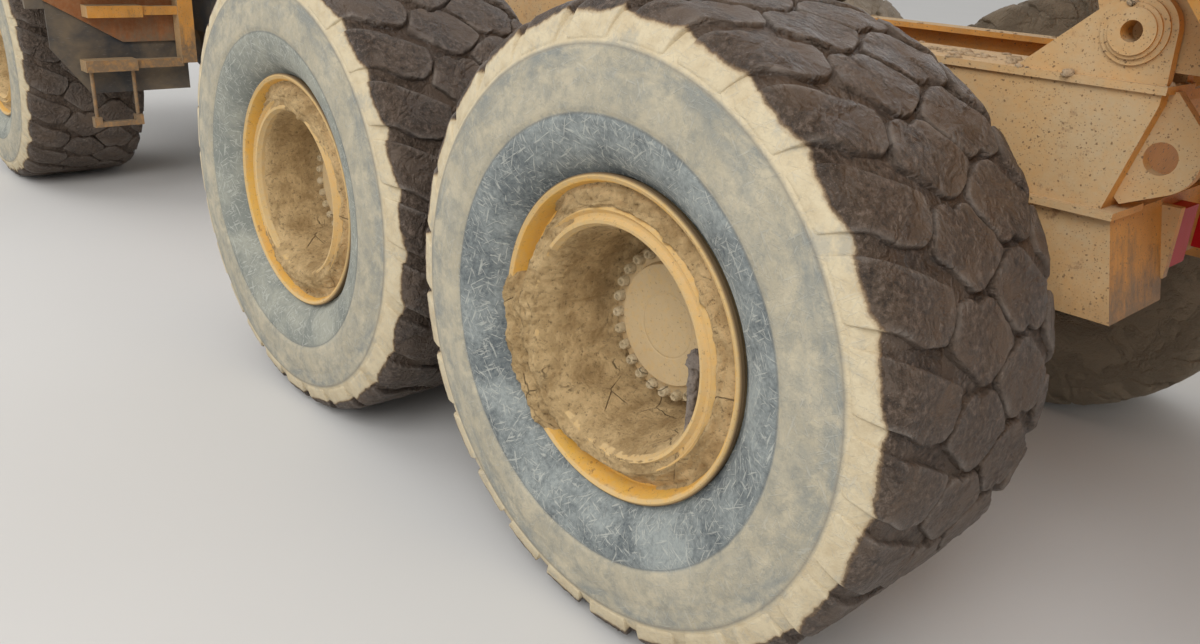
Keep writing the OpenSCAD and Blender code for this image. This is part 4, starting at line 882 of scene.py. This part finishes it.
# Mud and bolts in the rims, as radius and distance outwards from the flange; angle 0 points forward, 90 up
FLANGE = RIM_SIZE.y / 2 - 0.008
BARE_LINE = [
    (0.409, -0.006), (0.400, -0.002), (0.390, -0.014), (0.377, -0.054), (0.345, -0.054), (0.337, -0.030),
    (0.330, -0.006), (0.318, -0.012), (0.308, -0.012), (0.300, -0.002), (0.294, -0.006), (0.288, -0.024),
    (0.266, -0.244), (0.207, -0.268)]
MUDDY_LINE = [
    (0.412, 0.013), (0.404, 0.021), (0.392, 0.018), (0.376, 0.006), (0.352, 0.004), (0.339, 0.012),
    (0.328, 0.020), (0.317, 0.019), (0.306, 0.020), (0.293, 0.014), (0.280, -0.010), (0.264, -0.050),
    (0.240, -0.222), (0.224, -0.246)]
# Share of mud at some angles, for each zone of the two lines above, on the rear wheels and on the others
MUD_ANGLES = [-180, -150, -112, -60, -50, -20, 4, 12, 40, 60, 100, 140, 180]
MUD_COVER = {
    "lip": [0.0, 0.0, 0.0, 0.0, 0.9, 1.0, 0.9, 0.0, 0.0, 0.0, 0.0, 0.0, 0.0],
    "cone": [0.35, 0.45, 0.12, 0.0, 0.95, 1.0, 0.95, 0.0, 0.0, 0.70, 0.62, 0.35, 0.35],
    "gutter": [0.62, 0.66, 0.60, 0.60, 1.0, 1.0, 1.0, 0.75, 0.70, 0.88, 0.74, 0.60, 0.62],
    "ridges": [0.0, 0.15, 0.50, 0.85, 1.0, 1.0, 1.0, 0.9, 0.45, 0.15, 0.0, 0.0, 0.0],
    "recess": [0.55, 0.8, 1.0, 1.0, 1.0, 1.0, 1.0, 0.95, 0.8, 0.7, 0.6, 0.5, 0.55]}
LIGHT_COVER = {
    "lip": [0.0] * len(MUD_ANGLES),
    "cone": [0.10, 0.30, 0.55, 0.45, 0.30, 0.10, 0.0, 0.0, 0.15, 0.55, 0.60, 0.35, 0.10],
    "gutter": [0.55, 0.70, 0.85, 0.75, 0.70, 0.55, 0.50, 0.52, 0.60, 0.80, 0.85, 0.70, 0.55],
    "ridges": [0.0, 0.20, 0.80, 0.60, 0.30, 0.10, 0.0, 0.0, 0.0, 0.30, 0.80, 0.20, 0.0],
    "recess": [0.50, 0.60, 0.90, 1.0, 0.85, 0.60, 0.45, 0.40, 0.40, 0.50, 0.75, 0.60, 0.50]}
ZONES = ["lip"] * 3 + ["cone"] + ["gutter"] * 2 + ["ridges"] * 5 + ["recess"] * 3


def line_at(at, line):
    keys = np.arange(len(line))
    return np.stack([np.interp(at, keys, [p[k] for p in line]) for k in (0, 1)], -1)


def build_rim_mud(name, centre, side, body, turns, parts, seed, turned, table):
    """A sheet of dried mud that rises out of the rim where the wheel carries mud."""
    at = np.linspace(0, len(BARE_LINE) - 1, parts)
    bare, full = line_at(at, BARE_LINE), line_at(at, MUDDY_LINE)
    angles = np.linspace(-math.pi, math.pi, turns, endpoint=False)
    cover = np.array([np.interp(np.degrees(angles), MUD_ANGLES, table[zone]) for zone in ZONES]).T
    verts = []
    for angle, row in zip(angles, cover):
        share = np.interp(at, np.arange(len(row)), row)
        for (r0, y0), (r1, y1), c in zip(bare, full, share):
            spot = Vector((r0 * math.cos(angle), y0, r0 * math.sin(angle)))
            rough = noise.fractal(spot * 21 + Vector((seed, 0, 0)), 0.8, 2.1, 5)
            grit = noise.fractal(spot * 75 + Vector((0, seed, 0)), 0.6, 2.2, 3)
            c = min(max(c * (1.0 + 0.30 * rough) - 0.02, 0), 1.15)
            lift = c * (0.0055 * rough + 0.0055 * grit)
            radius = r0 + (r1 - r0) * c - lift * 0.4
            across = y0 + (y1 - y0) * c + lift
            verts.append((radius * math.cos(angle + turned), side * (FLANGE + across),
                          radius * math.sin(angle + turned)))
    faces = grid_faces(turns, parts, True)
    if side > 0:
        faces = flipped(faces)
    add_piece(name, verts, faces, "rim_mud", body, centre)


BOLT_COUNT = 26
BOLT_CIRCLE = 0.189
BOLT_SIDES = 14
# Distance of the hub's step from the wheel's middle plane
HUB_STEP = 0.090
BOLT_LINE = [(0.0, 0.012), (0.0052, 0.012), (0.0058, 0.023), (0.0092, 0.0255), (0.0132, 0.019), (0.0152, 0.0)]


def build_bolts(name, centre, side, body):
    """Ring of domed bolts with a hole in each, around the hub."""
    verts, faces = [], []
    for k in range(BOLT_COUNT):
        place = 2 * math.pi * (k + 0.5) / BOLT_COUNT
        x, z = BOLT_CIRCLE * math.cos(place), BOLT_CIRCLE * math.sin(place)
        first = len(verts)
        for i in range(BOLT_SIDES):
            turn = 2 * math.pi * i / BOLT_SIDES
            for r, y in BOLT_LINE:
                verts.append((x + r * math.cos(turn), side * (HUB_STEP + y), z + r * math.sin(turn)))
        faces += grid_faces(BOLT_SIDES, len(BOLT_LINE), True, first)
    if side < 0:
        faces = flipped(faces)
    add_piece(name, verts, faces, "hub_bolts", body, centre)


def lumpy(name, places, material, body, seed, detail):
    """Clods of mud as one mesh: rough balls given by centre and half sizes."""
    made = bmesh.new()
    for k, (centre, half) in enumerate(places):
        ball = bmesh.ops.create_icosphere(made, subdivisions=detail, radius=1.0)["verts"]
        for vert in ball:
            push = 1 + 0.42 * noise.fractal(vert.co * 1.9 + Vector((k * 1.7, seed, 0)), 0.7, 2.1, 4)
            vert.co = Vector(centre) + Vector([c * h * push for c, h in zip(vert.co, half)])
    mesh = bpy.data.meshes.new(name)
    made.to_mesh(mesh)
    made.free()
    place_mesh(mesh, material, body, (0, 0, 0))


# Turn of the mud about each axle in radians, and how much further the right wheels are turned
MUD_TURNS = {"rear": 0.0, "mid": 0.10, "front": 0.9}
MUD_SEEDS = {"rear": 2, "mid": 5, "front": 9}
RIGHT_MUD_TURN = 1.3


def build_wheel_details():
    for row, seed in MUD_SEEDS.items():
        for side, sign in SIDES.items():
            centre = node_centre(f"rim_{row}_{side}")
            body = f"wheel_{row}_{side}"
            near = side == "left" and row != "front"
            turned = MUD_TURNS[row] + (0 if sign > 0 else RIGHT_MUD_TURN)
            table = MUD_COVER if row == "rear" else LIGHT_COVER
            build_rim_mud(f"rim_mud_{row}_{side}", centre, sign, body, 360 if near else 120,
                          66 if near else 28, seed + sign, turned, table)
            build_bolts(f"hub_bolts_{row}_{side}", centre, sign, body)


def build_clod():
    """A clod that hangs inside the rear left rim."""
    centre = node_centre("rim_rear_left")
    places = []
    for k in range(5):
        middle = centre + Vector((-0.236, 0.262, 0.018 - 0.042 * k))
        places.append((middle, (0.017 - 0.002 * k, 0.014, 0.036)))
    places.append((centre + Vector((-0.246, 0.268, 0.028)), (0.030, 0.018, 0.020)))
    lumpy("clod_rear_left", places, "grey_mud", "wheel_rear_left", 4, 3)


build_wheel_details()
build_clod()


# Crumbs of mud on the upper faces
RAY_START = 4.0
CRUMB_FACING = 0.8
CRUMB_TRIES = 6
CRUMB_SMALLEST = 0.003
# Room for crumbs on the rear rails, under the lowered bed
BED_GAP = 0.008


def top_at(tree, x, y):
    """Height of the first surface below a point, and how much it faces up."""
    found = tree.ray_cast(Vector((x, y, RAY_START)), Vector((0, 0, -1)))
    if found[0] is None:
        return None, 0.0
    return found[0].z, found[1].z


def node_tree(name):
    built = bmesh.new()
    built.from_mesh(frame["nodes"][name].data)
    tree = BVHTree.FromBMesh(built)
    built.free()
    return tree


def build_crumbs(name, node, count, largest, seed, room):
    """Crumbs on a node of the rear frame, none of them higher than the room above it."""
    low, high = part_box(node)
    draw = random.Random(seed)
    tree = node_tree(node)
    places = []
    for _ in range(count * CRUMB_TRIES):
        x, y = draw.uniform(low[0], high[0]), draw.uniform(low[1], high[1])
        z, facing = top_at(tree, x, y)
        if z is None or facing < CRUMB_FACING:
            continue
        size = CRUMB_SMALLEST + (largest - CRUMB_SMALLEST) * draw.random() ** 2.5
        lift = min(size * 0.15, room * 0.2)
        rise = min(size * draw.uniform(0.4, 0.8), room * 0.45)
        places.append(((x, y, z + lift), (size, size * draw.uniform(0.7, 1.3), rise)))
        if len(places) == count:
            break
    lumpy(name, places, "crumbs", "rear_frame", seed, 2)


build_crumbs("crumbs_tail", "tail_frame", 520, 0.016, 21, 1.0)
build_crumbs("crumbs_frame", "rear_frame", 300, 0.014, 22, BED_GAP)


# Stage
FLOOR_SIZE = 80
SKY_STRENGTH = 0.70
# Lights: name, place, what they point at, size, power
LIGHTS = [
    ("key", (-7, 9, 9), (0, 0, 1), 7, 820),
    ("fill", (8, 6, 7), (2, 0, 1), 8, 350),
    ("back", (0, -10, 8), (0, 0, 1), 8, 300)]


def add_floor():
    s = Shader("floor")
    material = s.finish(s.mix(s.noise(0.6, 3, 0.5), FLOOR_DARK, FLOOR_LIGHT), 0.85)
    bpy.ops.mesh.primitive_plane_add(size=FLOOR_SIZE, location=(0, 0, 0))
    floor = bpy.context.object
    floor.name = "floor"
    floor.data.materials.append(material)


def add_sky():
    world = bpy.context.scene.world or bpy.data.worlds.new("world")
    bpy.context.scene.world = world
    world.use_nodes = True
    back = world.node_tree.nodes["Background"]
    back.inputs["Color"].default_value = SKY_WHITE
    back.inputs["Strength"].default_value = SKY_STRENGTH


def add_lights():
    for name, place, aim, size, power in LIGHTS:
        data = bpy.data.lights.new(name, "AREA")
        data.size = size
        data.energy = power
        lamp = bpy.data.objects.new(name, data)
        lamp.location = place
        lamp.rotation_euler = (Vector(aim) - Vector(place)).to_track_quat("-Z", "Y").to_euler()
        bpy.context.scene.collection.objects.link(lamp)


add_floor()
add_sky()
add_lights()
bpy.context.scene.view_settings.view_transform = "Standard"
